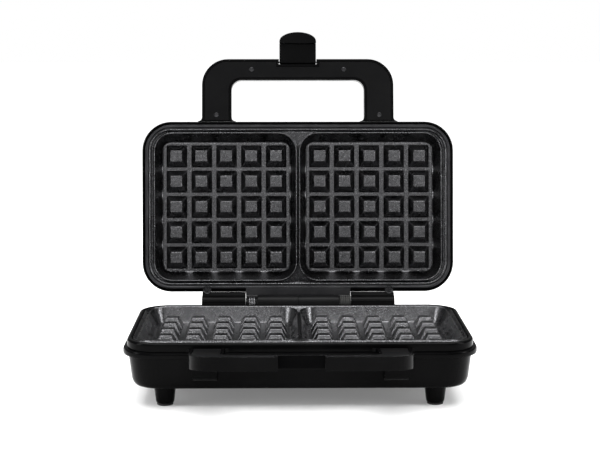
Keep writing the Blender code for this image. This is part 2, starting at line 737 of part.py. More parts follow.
def lid_housing():
    """Crowned shell, open towards the plate."""
    def lid_ring(inset, z):
        return ring(LID, z, inset=inset, y=LID_MIDDLE)
    wall = 2.2
    housing = loft("lid_housing", [
        lid_ring(40.0, LID_TOP - 2.4),
        lid_ring(20.0, LID_TOP - 3.4),
        lid_ring(11.0, LID_TOP - 6.5),
        lid_ring(6.4, LID_TOP - 10.5),
        lid_ring(3.8, LID_TOP - 17.0),
        lid_ring(wall, LID_TOP - 29.0),
        lid_ring(wall, LID_FACE),
        lid_ring(0.6, LID_FACE),
        lid_ring(0.0, LID_FACE + 0.6),
        lid_ring(0.0, LID_TOP - 29.0),
        lid_ring(1.5, LID_TOP - 16.0),
        lid_ring(4.0, LID_TOP - 8.5),
        lid_ring(9.0, LID_TOP - 3.5),
        lid_ring(20.0, LID_TOP - 1.0),
        lid_ring(40.0, LID_TOP),
    ])
    for name, x, _look in LAMPS:
        low, high = (x, LAMP_Y, LID_TOP - 8), (x, LAMP_Y, LID_TOP + 4)
        cut(housing, rod(f"housing_lens_hole_{name}", 4.4, low, high, sides=20))
    cut(housing, hinge_plate_pocket("housing_hinge_plate_pocket"))
    for side, hand in ((-1, "left"), (1, "right")):
        cut(housing, arm_screw_pocket("housing_arm_screw_pocket_" + hand, side))
    return housing


def lid_rim_frame():
    """Grey trim frame between the shell's edge and the upper plate."""
    def frame_ring(size, z, inset=0.0):
        return ring(size, z, inset=inset, y=LID_MIDDLE)
    ledge = LID_FACE + PLATE_EDGE + 0.3
    trim = loft("lid_rim_frame", [
        frame_ring(LID, LID_FACE, 2.6),
        frame_ring(LID, ledge + 2.5, 2.6),
        frame_ring(OPENING, ledge + 2.5, 3.8),
        frame_ring(OPENING, ledge, 3.8),
        frame_ring(OPENING, ledge),
        frame_ring(OPENING, LID_FACE),
    ], hollow=True)
    cut(trim, hinge_plate_pocket("trim_hinge_plate_pocket"))
    for side, hand in ((-1, "left"), (1, "right")):
        cut(trim, arm_screw_pocket("trim_arm_screw_pocket_" + hand, side))
    return trim


def hinge_plate():
    """Trim plate over the hinge, with a rolled edge that follows the barrel."""
    (_left, front, face), (right, _back, inside) = HINGE_PLATE
    outline = [(front, inside), (front, face)]
    outline += arc(0.0, 0.0, ROLL_RADIUS, ROLL_START, ROLL_END, steps=5)
    outline += arc(0.0, 0.0, ROLL_RADIUS + 1.0, ROLL_END, ROLL_START - 5.0, steps=5)
    return side_cut("lid_hinge_plate", outline, -right, right)


def hinge_plate_pocket(name):
    low, high = HINGE_PLATE
    below = (low[0] - 0.3, low[1] - 0.3, low[2] - 1.0)
    return box(name, below, [part + 0.3 for part in high])


def arm_screw_pocket(name, side):
    x = side * ARM_SCREW_X
    low, high = (x, ARM_SCREW_Y, LID_FACE - 1.0), (x, ARM_SCREW_Y, LID_FACE + 7.8)
    return rod(name, ARM_SCREW_HEAD + 0.3, low, high, sides=16)


def hinge_arm(hand, side, frame):
    """Lug behind the lid that turns on the hinge pin."""
    outline = [(-12.0, 16.0), (-12.0, LID_FACE + 0.6)]
    outline += arc(0.0, 0.0, BARREL_RADIUS, 170, 420, steps=16)
    low, high = sorted((side * ARM_INNER, side * ARM_OUTER))
    arm = side_cut("lid_hinge_arm_" + hand, outline, low, high)
    bore = PIN_RADIUS + RUNNING_GAP
    cut(arm, rod("hinge_arm_bore_" + hand, bore, (low - 5, 0, 0), (high + 5, 0, 0), sides=20))
    cut(arm, arm_screw_pocket("arm_screw_pocket_" + hand, side))
    finish(arm, frame, "black_plastic")
    head = ARM_SCREW_HEAD
    profile = [(0.0, 7.0), (1.6, 7.0), (1.6, 2.0), (head, 2.0), (head, 0.4), (head - 0.5, 0.0), (0.0, 0.0)]
    screw = turned("lid_arm_screw_" + hand, profile, steps=16)
    finish(screw, frame, "dull_steel", (side * ARM_SCREW_X, ARM_SCREW_Y, LID_FACE + 0.2))


def lamp_set(name, x, look, frame):
    """Lens in the crown of the lid and the neon lamp under it."""
    profile = [(0.0, 1.5), (2.4, 1.1), (4.0, 0.2), (4.0, -4.0), (3.0, -4.0), (3.0, -1.0), (0.0, -1.0)]
    finish(turned(name + "_lens", profile, steps=20), frame, look, (x, LAMP_Y, LENS_Z))
    lamp = rod(name + "_lamp", 2.1, (-5, 0, -6.5), (5, 0, -6.5), sides=12)
    finish(lamp, frame, "lamp_glass", (x, LAMP_Y, LENS_Z))


def lid_grip(frame):
    """Handle body, cover and screws in the handle frame: root at y = 0, inner face at z = 0."""
    body = grip_body("lid_handle", 1, LID_GRIP_RISE, -0.3)
    cover = grip_cover("lid_handle_cover", 1, LID_GRIP_RISE)
    front = -GRIP_REACH
    for item in (body, cover):
        low, high = (-18.9, front - 3, -2.0), (18.9, front + LATCH_PIN_INSET + 2.7, 20.0)
        cut(item, box(item.name + "_latch_notch", low, high))
    pin_z = latch_pin_height()
    pin_y = front + LATCH_PIN_INSET
    bore = LATCH_PIN_RADIUS + 0.3
    cut(body, rod("latch_pin_bore", bore, (-25, pin_y, pin_z), (25, pin_y, pin_z), sides=12))
    places = [(side, hand, kind, x, y) for side, hand in ((-1, "left"), (1, "right"))
              for kind, x, y in (("bar", GRIP_SCREW_X, -GRIP_REACH + GRIP_SCREW_BACK),
                                 ("leg", LEG_SCREW_X, LEG_SCREW_Y))]
    for side, hand, kind, x, y in places:
        pose = grip_screw_pose(side * x, y, 1, LID_GRIP_RISE)
        for item in (body, cover):
            grip_screw_hole(item, f"{item.name}_{kind}_hole_{hand}", pose)
        grip_screw(f"lid_handle_{kind}_screw_{hand}", frame, pose)
    finish(body, frame, "black_plastic")
    finish(cover, frame, "satin_plastic")
    pin = rod("latch_pin", LATCH_PIN_RADIUS, (-24, 0, 0), (24, 0, 0), sides=12)
    finish(pin, frame, "steel", (0, pin_y, pin_z))


def latch_pin_height():
    """Height of the latch's pin above the lid handle's root face."""
    return face_height(-GRIP_REACH, LID_GRIP_RISE) + LATCH_PIN_LIFT


def latch(frame):
    """Tongue on its pin, with the hook along its tip. Its origin is on the pin."""
    thick = LATCH_HALF_THICK
    side = arc(0.0, 0.0, thick, 90, -90, steps=6)
    side += [(-LATCH_LEDGE, -thick), (-LATCH_LEDGE, -HOOK_DROP), (-LATCH_REACH - 1, -HOOK_DROP + 1.5),
             (-LATCH_REACH - 1, thick)]
    body = side_cut("latch", side, -LATCH_HALF - 2, LATCH_HALF + 2)
    tip_round = 10.0
    plan = [(LATCH_HALF, 5.0), (-LATCH_HALF, 5.0)]
    plan += arc(0.0, -LATCH_REACH + tip_round, LATCH_HALF, 180, 360, steps=12, radius_y=tip_round)
    combine(body, sheet_cut("latch_plan", plan, -15, 15), "INTERSECT")
    bore = LATCH_PIN_RADIUS + 0.25
    cut(body, rod("latch_bore", bore, (-30, 0, 0), (30, 0, 0), sides=12))
    finish(body, frame, "black_plastic")


def build_lid(frame):
    finish(lid_housing(), frame, "black_plastic")
    finish(lid_rim_frame(), frame, "grey_trim")
    plate_group("upper", empty("upper_plate_frame", frame, (0, LID_MIDDLE, LID_FACE), (180, 0, 0)))
    finish(hinge_plate(), frame, "grey_trim")
    for side, hand in ((-1, "left"), (1, "right")):
        hinge_arm(hand, side, frame)
    for name, x, look in LAMPS:
        lamp_set(name, x, look, frame)
    finish(ribbed_collar("lead_collar_lid", 47.0, 52.2), frame, "rubber", (0, 0, 0), (0, 90, 0))
    grip_frame = empty("lid_handle_frame", frame, (0, LID_FRONT, LID_FACE))
    lid_grip(grip_frame)
    latch(empty("latch_pivot", grip_frame, (0, -GRIP_REACH + LATCH_PIN_INSET, latch_pin_height())))


def main():
    origin = empty("waffle_maker_frame", None, (0, -MIDDLE_BACK, 0))
    build_base(origin)
    build_lid(empty("lid_pivot", origin, (0, HINGE_Y, AXIS_Z), (-OPEN_ANGLE, 0, 0)))


main()
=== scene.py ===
import json
import math

import bmesh
import bpy
from mathutils import Matrix, Vector


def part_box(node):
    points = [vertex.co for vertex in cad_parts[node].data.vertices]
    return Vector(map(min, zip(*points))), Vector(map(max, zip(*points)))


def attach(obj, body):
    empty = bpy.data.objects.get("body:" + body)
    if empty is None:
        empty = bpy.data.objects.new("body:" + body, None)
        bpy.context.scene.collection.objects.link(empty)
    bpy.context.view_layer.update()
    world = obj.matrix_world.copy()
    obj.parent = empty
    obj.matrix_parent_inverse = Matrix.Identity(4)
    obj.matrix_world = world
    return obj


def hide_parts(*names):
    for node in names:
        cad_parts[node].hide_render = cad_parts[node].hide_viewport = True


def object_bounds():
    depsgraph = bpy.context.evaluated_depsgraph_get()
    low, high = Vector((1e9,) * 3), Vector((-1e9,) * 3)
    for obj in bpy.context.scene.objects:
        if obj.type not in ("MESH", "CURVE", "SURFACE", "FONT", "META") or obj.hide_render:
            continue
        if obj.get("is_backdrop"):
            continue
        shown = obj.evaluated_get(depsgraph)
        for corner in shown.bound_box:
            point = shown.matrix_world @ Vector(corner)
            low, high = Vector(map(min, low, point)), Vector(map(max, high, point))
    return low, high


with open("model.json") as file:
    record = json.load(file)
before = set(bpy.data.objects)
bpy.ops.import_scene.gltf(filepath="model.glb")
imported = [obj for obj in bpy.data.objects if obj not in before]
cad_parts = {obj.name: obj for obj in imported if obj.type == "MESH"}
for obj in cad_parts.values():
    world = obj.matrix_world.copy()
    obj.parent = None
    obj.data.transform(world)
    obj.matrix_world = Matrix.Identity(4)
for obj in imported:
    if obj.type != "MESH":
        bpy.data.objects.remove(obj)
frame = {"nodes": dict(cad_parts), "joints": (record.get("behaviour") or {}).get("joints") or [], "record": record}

# Shapes are drawn in millimetres, and add_piece turns them into metres.
MM = 0.001
TO_RIGHT = Matrix.Rotation(math.pi / 2, 4, "Y")
TO_BACK = Matrix.Rotation(-math.pi / 2, 4, "X")
TO_FRONT = Matrix.Rotation(math.pi / 2, 4, "X")
UPSIDE_DOWN = Matrix.Rotation(math.pi, 4, "X")
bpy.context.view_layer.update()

# Outlines: width, depth, corner radius
RIM = (308.0, 170.0, 28.0)
LIP = (315.0, 177.0, 31.0)
WALL_TOP = (306.0, 168.0, 28.0)
WALL_LOW = (301.0, 163.0, 26.0)
BOTTOM = (291.0, 156.0, 22.0)
LID = (311.0, 170.0, 29.0)
OPENING = (299.6, 158.4, 23.0)
PLATE = (297.8, 155.4, 22.0)
PLATE_BODY = (288.6, 149.2, 19.0)
PLATE_UNDERSIDE = (279.0, 137.0, 13.0)
CORNER_STEPS = 10

# Waffle plates
PLATE_EDGE = 3.0
GROOVE = -2.2             # bottom of the groove between the plate's edge and the cavities' lips
CAVITY_DEPTH = 14.5
PLATE_DEPTH = 17.5
CAVITY_RIM = (141.4, 147.0, 18.0)
CAVITY_FLOOR = (129.0, 130.8, 9.0)
CAVITY_RIM_X = 72.55
CAVITY_FLOOR_X = 71.95
PEG_PITCH = (25.04, 25.5)
PEG_BASE = (20.8, 22.3)
PEG_TOP = (10.9, 10.7)
PEG_HEIGHT = 9.4
PEGS_A_SIDE = 5

# Handles
GRIP_HALF = 95.85
GRIP_REACH = 63.0
GRIP_CORNER = 26.0
GRIP_THICK = 12.0
HOLE_HALF = 66.4
HOLE_REACH = 41.7
HOLE_CORNER = 10.0
ROOT_FILLET = 4.0
CREASE = 11.0
COVER_INSET = 2.4
COVER_THICK = 1.7
BASE_GRIP_TOP = 56.0
BASE_GRIP_RISE = 0.1388
LID_GRIP_RISE = 0.0731
BASE_NOTCH = (19.7, 8.5, 13.9)     # half width, depth below, depth at the cover
LID_NOTCH = (18.9, 5.2, 5.2)
GRIP_SCREW = (2.3, 0.5, 1.1, 8.0)  # head radius, head height, shank radius, shank length
LEG_SCREW = (81.5, -7.0)
SHELL_SEAT = (46.1, 52.5)          # heights of the lip that the base handle's legs stand on

# Hinge and latch
AXIS_BACK = 12.35
PIN_RADIUS = 2.5
PIN_BORE = PIN_RADIUS + 0.3
BARREL_RADIUS = 9.0
BARREL_HALF = 41.0
SPRING_BOSS = 6.4
SPRING_RADIUS = 7.6
COLLAR_RADIUS = 8.3
ROLL_RADIUS = 9.5
HINGE_PLATE_HALF = 52.2
HINGE_PLATE_FRONT = -AXIS_BACK - 4.4
ARM_INNER = 52.5
ARM_OUTER = 95.8
ARM_SCREW_X = 91.0
ARM_SCREW_Y = -AXIS_BACK - 1.6
ARM_SCREW_HEAD = 4.2
LATCH_HALF = 18.3
LATCH_REACH = 29.09
LATCH_LEDGE = 17.8
LATCH_HALF_THICK = 2.2
HOOK_DROP = 9.0
LATCH_TIP = 9.0

# Lamps, cord gland, bottom screws
LAMP_X = 11.0
LENS_HOLE = 4.4
GLAND_X = 112.0
GLAND_Z = 34.0
BOTTOM_SCREW = (3.0, 1.5, 1.5, 8.0)
HOUSING_FLOOR = 17.7

# Where the moving parts stand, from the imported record
joints = {joint["name"]: joint for joint in frame["joints"]}
hinge = Vector(joints["lid_hinge"]["pos_m"])
latch_pin = Vector(joints["latch_hinge"]["pos_m"])
rim_low, rim_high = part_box("base_rim_frame")
BASE = Matrix.Translation((0.0, (rim_low.y + rim_high.y) / 2, 0.0))
OPEN_ANGLE = math.radians(joints["lid_hinge"]["range_deg"][1])
LID_PLACE = Matrix.Translation(hinge) @ Matrix.Rotation(-OPEN_ANGLE, 4, "X")
AXIS_Z = hinge.z / MM
PARTING = rim_high.z / MM
LID_FACE = PARTING + 0.6 - AXIS_Z
LID_MIDDLE = -(RIM[1] / 2 + AXIS_BACK)
LID_FRONT = -(RIM[1] + AXIS_BACK)
LID_TOP = 43.0
LAMP_Y = LID_FRONT + 30.0


def shifted(place, x=0.0, y=0.0, z=0.0):
    """A frame moved by millimetres along its own axes."""
    return place @ Matrix.Translation((x * MM, y * MM, z * MM))


BASE_GRIP = shifted(BASE, 0.0, -RIM[1] / 2, BASE_GRIP_TOP)
LID_GRIP = shifted(LID_PLACE, 0.0, LID_FRONT, LID_FACE)
LOWER_PLATE = shifted(BASE, 0.0, 0.0, PARTING)
UPPER_PLATE = shifted(LID_PLACE, 0.0, LID_MIDDLE, LID_FACE) @ UPSIDE_DOWN
HINGE = Matrix.Translation(hinge)


# ------------------------------------------------------------------ finishes

class Finish:
    """A node-built finish on one piece's own coordinates."""

    def __init__(self, name, colour, roughness, metallic=0.0, specular=0.5):
        self.material = bpy.data.materials.new(name)
        self.material.use_nodes = True
        self.tree = self.material.node_tree
        self.shader = self.tree.nodes["Principled BSDF"]
        self.colour = (*colour, 1.0)
        self.shader.inputs["Base Color"].default_value = self.colour
        self.shader.inputs["Roughness"].default_value = roughness
        self.shader.inputs["Metallic"].default_value = metallic
        self.shader.inputs["Specular IOR Level"].default_value = specular
        self.bump = None
        self.place = self.tree.nodes.new("ShaderNodeTexCoord").outputs["Object"]

    def node(self, kind, **values):
        made = self.tree.nodes.new(kind)
        for socket, value in values.items():
            made.inputs[socket].default_value = value
        return made

    def link(self, source, target):
        self.tree.links.new(source, target)

    def set(self, socket, value):
        self.shader.inputs[socket].default_value = value
        return self

    def noise(self, scale, detail=2.0, stretch=(1.0, 1.0, 1.0)):
        """Noise at so many grains a metre, stretched along the axes."""
        mapping = self.node("ShaderNodeMapping", Scale=stretch)
        self.link(self.place, mapping.inputs["Vector"])
        cloud = self.node("ShaderNodeTexNoise", Scale=scale, Detail=detail)
        self.link(mapping.outputs["Vector"], cloud.inputs["Vector"])
        return cloud.outputs["Fac"]

    def spread(self, source, low, high, start=0.3, end=0.7):
        """Remap a pattern to the range low to high."""
        remap = self.node("ShaderNodeMapRange")
        for socket, value in (("From Min", start), ("From Max", end), ("To Min", low), ("To Max", high)):
            remap.inputs[socket].default_value = value
        self.link(source, remap.inputs["Value"])
        return remap.outputs["Result"]

    def tint(self, source, other, start=0.35, end=0.65):
        """Let the colour drift towards another one with a pattern."""
        ramp = self.node("ShaderNodeValToRGB")
        ramp.color_ramp.elements[0].position = start
        ramp.color_ramp.elements[0].color = self.colour
        ramp.color_ramp.elements[1].position = end
        ramp.color_ramp.elements[1].color = (*other, 1.0)
        self.link(source, ramp.inputs["Fac"])
        self.link(ramp.outputs["Color"], self.shader.inputs["Base Color"])
        return self

    def gloss(self, source, low, high):
        """Let the roughness drift between two values."""
        self.link(self.spread(source, low, high), self.shader.inputs["Roughness"])
        return self

    def relief(self, source, depth, strength=1.0):
        """Raise the surface by a pattern, depth in metres."""
        bump = self.node("ShaderNodeBump", Strength=strength, Distance=depth)
        self.link(source, bump.inputs["Height"])
        if self.bump:
            self.link(self.bump, bump.inputs["Normal"])
        self.bump = bump.outputs["Normal"]
        self.link(self.bump, self.shader.inputs["Normal"])
        return self


def moulded(name, colour, lighter, roughness, grain, depth, specular=0.5):
    """Moulded plastic: fine spark-eroded grain, slow drift in gloss, faint handling haze."""
    made = Finish(name, colour, roughness, specular=specular)
    made.tint(made.noise(26.0, 4.0), lighter)
    made.gloss(made.noise(38.0, 5.0), roughness - 0.035, roughness + 0.05)
    made.relief(made.noise(grain, 3.0), depth)
    return made.material


def cast_coating(name):
    """Non-stick coating on cast aluminium: dark grey with a fine metallic fleck and a slight orange peel."""
    made = Finish(name, (0.042, 0.042, 0.044), 0.27, metallic=1.0)
    made.tint(made.noise(1500.0, 2.0), (0.26, 0.26, 0.27), 0.48, 0.76)
    made.gloss(made.noise(55.0, 4.0), 0.24, 0.32)
    made.relief(made.noise(420.0, 2.0), 0.00004, 0.35)
    made.relief(made.noise(2600.0, 2.0), 0.000012, 0.5)
    return made.material


def metal(name, colour, other, roughness, grain, stretch, depth=0.000006):
    """Bare metal with drawn or turned marks and a slow change of tone."""
    made = Finish(name, colour, roughness, metallic=1.0)
    made.tint(made.noise(60.0, 4.0), other)
    made.gloss(made.noise(grain, 3.0, stretch), roughness - 0.07, roughness + 0.09)
    made.relief(made.noise(grain, 2.0, stretch), depth, 0.6)
    return made.material


def lens_plastic(name, colour, deep):
    """Clear tinted plastic with a faint swirl."""
    made = Finish(name, colour, 0.08)
    made.set("Transmission Weight", 0.55).set("IOR", 1.49).set("Coat Weight", 0.4)
    made.tint(made.noise(220.0, 3.0), deep)
    made.gloss(made.noise(300.0, 2.0), 0.06, 0.13)
    return made.material


def rubber():
    made = Finish("soft_black_rubber", (0.014, 0.014, 0.014), 0.80, specular=0.35)
    made.tint(made.noise(90.0, 4.0), (0.024, 0.024, 0.023))
    made.gloss(made.noise(140.0, 3.0), 0.72, 0.88)
    made.relief(made.noise(3000.0, 3.0), 0.00003)
    return made.material


def ceramic():
    made = Finish("fired_ceramic", (0.74, 0.71, 0.64), 0.52)
    made.tint(made.noise(150.0, 5.0), (0.62, 0.58, 0.50))
    made.gloss(made.noise(200.0, 3.0), 0.42, 0.60)
    made.relief(made.noise(1800.0, 4.0), 0.00004)
    return made.material


def lamp_glass():
    made = Finish("lamp_glass", (0.86, 0.82, 0.76), 0.06)
    made.set("Transmission Weight", 0.85).set("IOR", 1.5)
    made.tint(made.noise(300.0, 3.0), (0.74, 0.62, 0.52))
    made.gloss(made.noise(400.0, 2.0), 0.04, 0.10)
    return made.material


EVEN = (1.0, 1.0, 1.0)
DRAWN = (0.05, 1.0, 1.0)
ROLLED = (0.04, 1.0, 1.0)

FINISHES = {
    "black_plastic": moulded("black_moulded_plastic", (0.0011, 0.0011, 0.0012), (0.0021, 0.0021, 0.0022),
                             0.18, 2400.0, 0.000006, 0.030),
    "satin_plastic": moulded("satin_moulded_plastic", (0.0026, 0.0026, 0.0028), (0.0042, 0.0042, 0.0044),
                             0.31, 1700.0, 0.000020, 0.055),
    "nonstick_coating": cast_coating("cast_nonstick_coating"),
    "grey_trim": metal("grey_enamelled_trim", (0.030, 0.030, 0.032), (0.045, 0.045, 0.047), 0.36, 900.0,
                       EVEN),
    "bright_steel": metal("drawn_bright_steel", (0.16, 0.16, 0.165), (0.11, 0.11, 0.115), 0.26, 900.0, DRAWN),
    "screw_steel": metal("blackened_screw_steel", (0.034, 0.034, 0.036), (0.055, 0.055, 0.057), 0.30, 1500.0,
                         EVEN),
    "element_steel": metal("heat_tinted_element_steel", (0.34, 0.31, 0.27), (0.20, 0.18, 0.19), 0.44, 700.0,
                           EVEN),
    "tray_steel": metal("rolled_tray_steel", (0.56, 0.56, 0.57), (0.46, 0.46, 0.48), 0.36, 1100.0, ROLLED),
    "rubber": rubber(),
    "ceramic": ceramic(),
    "lamp_glass": lamp_glass(),
    "red_lens": lens_plastic("red_lens_plastic", (0.55, 0.020, 0.015), (0.34, 0.008, 0.006)),
    "green_lens": lens_plastic("green_lens_plastic", (0.02, 0.36, 0.05), (0.01, 0.22, 0.03)),
}


# ------------------------------------------------------------------ shaping tools

def add_piece(name, shape, place, body, slot, nodes, sharp=None):
    """Turn a finished shape into a piece that rides on a body and stands for its CAD nodes."""
    bmesh.ops.remove_doubles(shape, verts=shape.verts, dist=0.0005)
    bmesh.ops.recalc_face_normals(shape, faces=shape.faces)
    bmesh.ops.transform(shape, matrix=place @ Matrix.Scale(MM, 4), verts=shape.verts)
    mesh = bpy.data.meshes.new(name)
    shape.to_mesh(mesh)
    shape.free()
    mesh.materials.append(FINISHES[slot])
    mesh.shade_smooth()
    if sharp:
        mesh.set_sharp_from_angle(angle=math.radians(sharp))
    piece = bpy.data.objects.new(name, mesh)
    bpy.context.scene.collection.objects.link(piece)
    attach(piece, body)
    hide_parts(*nodes)
    return piece


def soften(piece, width, segments=3, angle=30.0):
    """Round every edge sharper than the angle, and keep the flats flat."""
    edge = piece.modifiers.new("rounded_edges", "BEVEL")
    edge.width = width * MM
    edge.segments = segments
    edge.limit_method = "ANGLE"
    edge.angle_limit = math.radians(angle)
    edge.miter_outer = "MITER_ARC"
    even_light(piece)
    return piece


def even_light(piece):
    flats = piece.modifiers.new("flat_faces_stay_flat", "WEIGHTED_NORMAL")
    flats.keep_sharp = True
    flats.weight = 60
    return piece


def ring(shape, size, z, inset=0.0, x=0.0, y=0.0, steps=CORNER_STEPS):
    """Draw a rounded rectangle at height z and give back its edges."""
    width, depth, radius = size
    old = set(shape.edges)
    spans = Matrix.Diagonal((width - 2 * inset, depth - 2 * inset, 1.0, 1.0))
    made = bmesh.ops.create_grid(shape, x_segments=1, y_segments=1, size=0.5,
                                 matrix=Matrix.Translation((x, y, z)) @ spans)
    bmesh.ops.bevel(shape, geom=made["verts"], offset=max(radius - inset, 0.4), offset_type="OFFSET",
                    segments=steps, profile=0.5, affect="VERTICES", material=-1)
    drawn = [edge for edge in shape.edges if edge not in old]
    faces = list({face for edge in drawn for face in edge.link_faces})
    bmesh.ops.delete(shape, geom=faces, context="FACES_ONLY")
    return drawn


def corner(size, inset):
    """Half spans to the corner centres of a rounded rectangle, and its corner radius."""
    width, depth, radius = size
    radius = max(radius - inset, 0.4)
    return width / 2 - inset - radius, depth / 2 - inset - radius, radius


def draw_on(shape, edges, row, following):
    """Extrude a ring, listed as (outline, height, inset, x, y), into the following one."""
    made = bmesh.ops.extrude_edge_only(shape, edges=edges)["geom"]
    verts = {item for item in made if isinstance(item, bmesh.types.BMVert)}
    size, _z, inset, x, y = row
    new_size, z, new_inset, new_x, new_y = following
    reach_x, reach_y, radius = corner(size, inset)
    new_reach_x, new_reach_y, new_radius = corner(new_size, new_inset)
    for vert in verts:
        side_x, side_y = math.copysign(1.0, vert.co.x - x), math.copysign(1.0, vert.co.y - y)
        along_x = (vert.co.x - x - side_x * reach_x) / radius
        along_y = (vert.co.y - y - side_y * reach_y) / radius
        vert.co = (new_x + side_x * new_reach_x + new_radius * along_x,
                   new_y + side_y * new_reach_y + new_radius * along_y, z)
    return [item for item in made if isinstance(item, bmesh.types.BMEdge) and verts.issuperset(item.verts)]


def grow(shape, rows):
    """Draw a wall through a list of rings. Gives back the first and the last ring's edges."""
    size, z, inset, x, y = rows[0]
    first = last = ring(shape, size, z, inset, x, y)
    for row, following in zip(rows, rows[1:]):
        last = draw_on(shape, last, row, following)
    return first, last


def rows_of(outline, places):
    """Rings of one outline, from pairs of height and inset."""
    return [(outline, z, inset) for z, inset in places]


def stack(profile, closed=False, caps=False, y=0.0):
    """Shape made of rings listed as (outline, height, inset)."""
    shape = bmesh.new()
    rows = [(size, z, inset, 0.0, y) for size, z, inset in profile]
    if closed:
        rows.append(rows[0])
    first, last = grow(shape, rows)
    if closed:
        bmesh.ops.remove_doubles(shape, verts=shape.verts, dist=0.001)
    if caps:
        bmesh.ops.edgeloop_fill(shape, edges=first)
        bmesh.ops.edgeloop_fill(shape, edges=last)
    return shape


def between(first, second, share):
    return tuple(a + (b - a) * share for a, b in zip(first, second))


def quarter(size, z, inset, radius, rising, steps=4):
    """Rings of a rounded edge, from a vertical wall at z over to a level face."""
    rows = []
    for step in range(steps + 1):
        turn = math.pi / 2 * step / steps
        rows.append((size, z + rising * radius * math.sin(turn), inset + radius * (1 - math.cos(turn))))
    return rows


def plate_of(points):
    """Flat face from a few corner points in XY. Gives the shape and its corners in order."""
    shape = bmesh.new()
    corners = [shape.verts.new((x, y, 0.0)) for x, y in points]
    shape.faces.new(corners)
    return shape, corners


def round_corners(shape, corners, radius, steps):
    bmesh.ops.bevel(shape, geom=corners, offset=radius, offset_type="OFFSET", segments=steps,
                    profile=0.5, affect="VERTICES", material=-1)


def thicken(shape, low, high):
    """Turn a flat shape at z = 0 into a solid from low to high."""
    bmesh.ops.translate(shape, verts=shape.verts, vec=(0.0, 0.0, low))
    made = bmesh.ops.extrude_face_region(shape, geom=shape.faces[:])
    top = [item for item in made["geom"] if isinstance(item, bmesh.types.BMVert)]
    bmesh.ops.translate(shape, verts=top, vec=(0.0, 0.0, high - low))
    bmesh.ops.recalc_face_normals(shape, faces=shape.faces)
    return shape


def round_edges(shape, edges, width, steps):
    """Bevel some edges to a round."""
    bmesh.ops.bevel(shape, geom=edges, offset=width, offset_type="OFFSET", segments=steps, profile=0.5,
                    affect="EDGES", clamp_overlap=True, material=-1)
    return shape


def bent_edges(shape, degrees, wanted):
    """Edges bent by more than an angle whose two ends are both wanted."""
    least = math.radians(degrees)
    return [edge for edge in shape.edges if edge.is_manifold and edge.calc_face_angle() > least
            and all(wanted(vert.co) for vert in edge.verts)]


def split_at(shape, y):
    """Add a row of edges across a shape at y."""
    geometry = shape.verts[:] + shape.edges[:] + shape.faces[:]
    bmesh.ops.bisect_plane(shape, geom=geometry, dist=0.0001, plane_co=(0.0, y, 0.0),
                           plane_no=(0.0, 1.0, 0.0))


def block(low, high):
    """Box-shaped tool for cuts."""
    shape = bmesh.new()
    middle = [(a + b) / 2 for a, b in zip(low, high)]
    spans = [b - a for a, b in zip(low, high)]
    bmesh.ops.create_cube(shape, size=1.0, matrix=Matrix.Translation(middle) @ Matrix.Diagonal((*spans, 1.0)))
    return shape


def pillar(radius, low, high, place):
    """Round tool for cuts, along its own Z."""
    shape = bmesh.new()
    middle = Matrix.Translation((0.0, 0.0, (low + high) / 2))
    bmesh.ops.create_cone(shape, cap_ends=True, segments=32, radius1=radius, radius2=radius, depth=high - low,
                          matrix=place @ middle)
    return shape


def carve(shape, tools, operation="DIFFERENCE"):
    """Cut a closed shape with closed tools, or join them to it."""
    for tool in tools:
        pair = []
        for part in (shape, tool):
            bmesh.ops.recalc_face_normals(part, faces=part.faces)
            mesh = bpy.data.meshes.new("bench")
            part.to_mesh(mesh)
            part.free()
            item = bpy.data.objects.new("bench", mesh)
            bpy.context.scene.collection.objects.link(item)
            pair.append(item)
        step = pair[0].modifiers.new("bench", "BOOLEAN")
        step.operation = operation
        step.solver = "EXACT"
        step.object = pair[1]
        shape = bmesh.new()
        shape.from_object(pair[0], bpy.context.evaluated_depsgraph_get())
        for item in pair:
            mesh = item.data
            bpy.data.objects.remove(item, do_unlink=True)
            bpy.data.meshes.remove(mesh)
    return shape


def turned(profile, steps=40):
    """Spin a line of (radius, height) points about Z."""
    shape = bmesh.new()
    line = [shape.verts.new((radius, 0.0, height)) for radius, height in profile]
    edges = [shape.edges.new(pair) for pair in zip(line, line[1:])]
    if profile[0][0] > 0:
        edges.append(shape.edges.new((line[-1], line[0])))
    bmesh.ops.spin(shape, geom=line + edges, cent=(0, 0, 0), axis=(0, 0, 1), dvec=(0, 0, 0),
                   angle=2 * math.pi, steps=steps, use_merge=True, use_duplicate=False)
    bmesh.ops.remove_doubles(shape, verts=shape.verts, dist=0.001)
    bmesh.ops.dissolve_degenerate(shape, edges=shape.edges, dist=0.0001)
    return shape


def along_x(shape):
    """Turn a shape drawn in XY and thickened along Z so that it is drawn in YZ and thick along X."""
    turn = Matrix(((0, 0, 1, 0), (1, 0, 0, 0), (0, 1, 0, 0), (0, 0, 0, 1)))
    bmesh.ops.transform(shape, matrix=turn, verts=shape.verts)
    return shape


def arc(x, y, radius, start, end, steps):
    """Corner points along an arc, with its angles in degrees."""
    points = []
    for step in range(steps + 1):
        turn = math.radians(start + (end - start) * step / steps)
        points.append((x + radius * math.cos(turn), y + radius * math.sin(turn)))
    return points


# ------------------------------------------------------------------ waffle plates

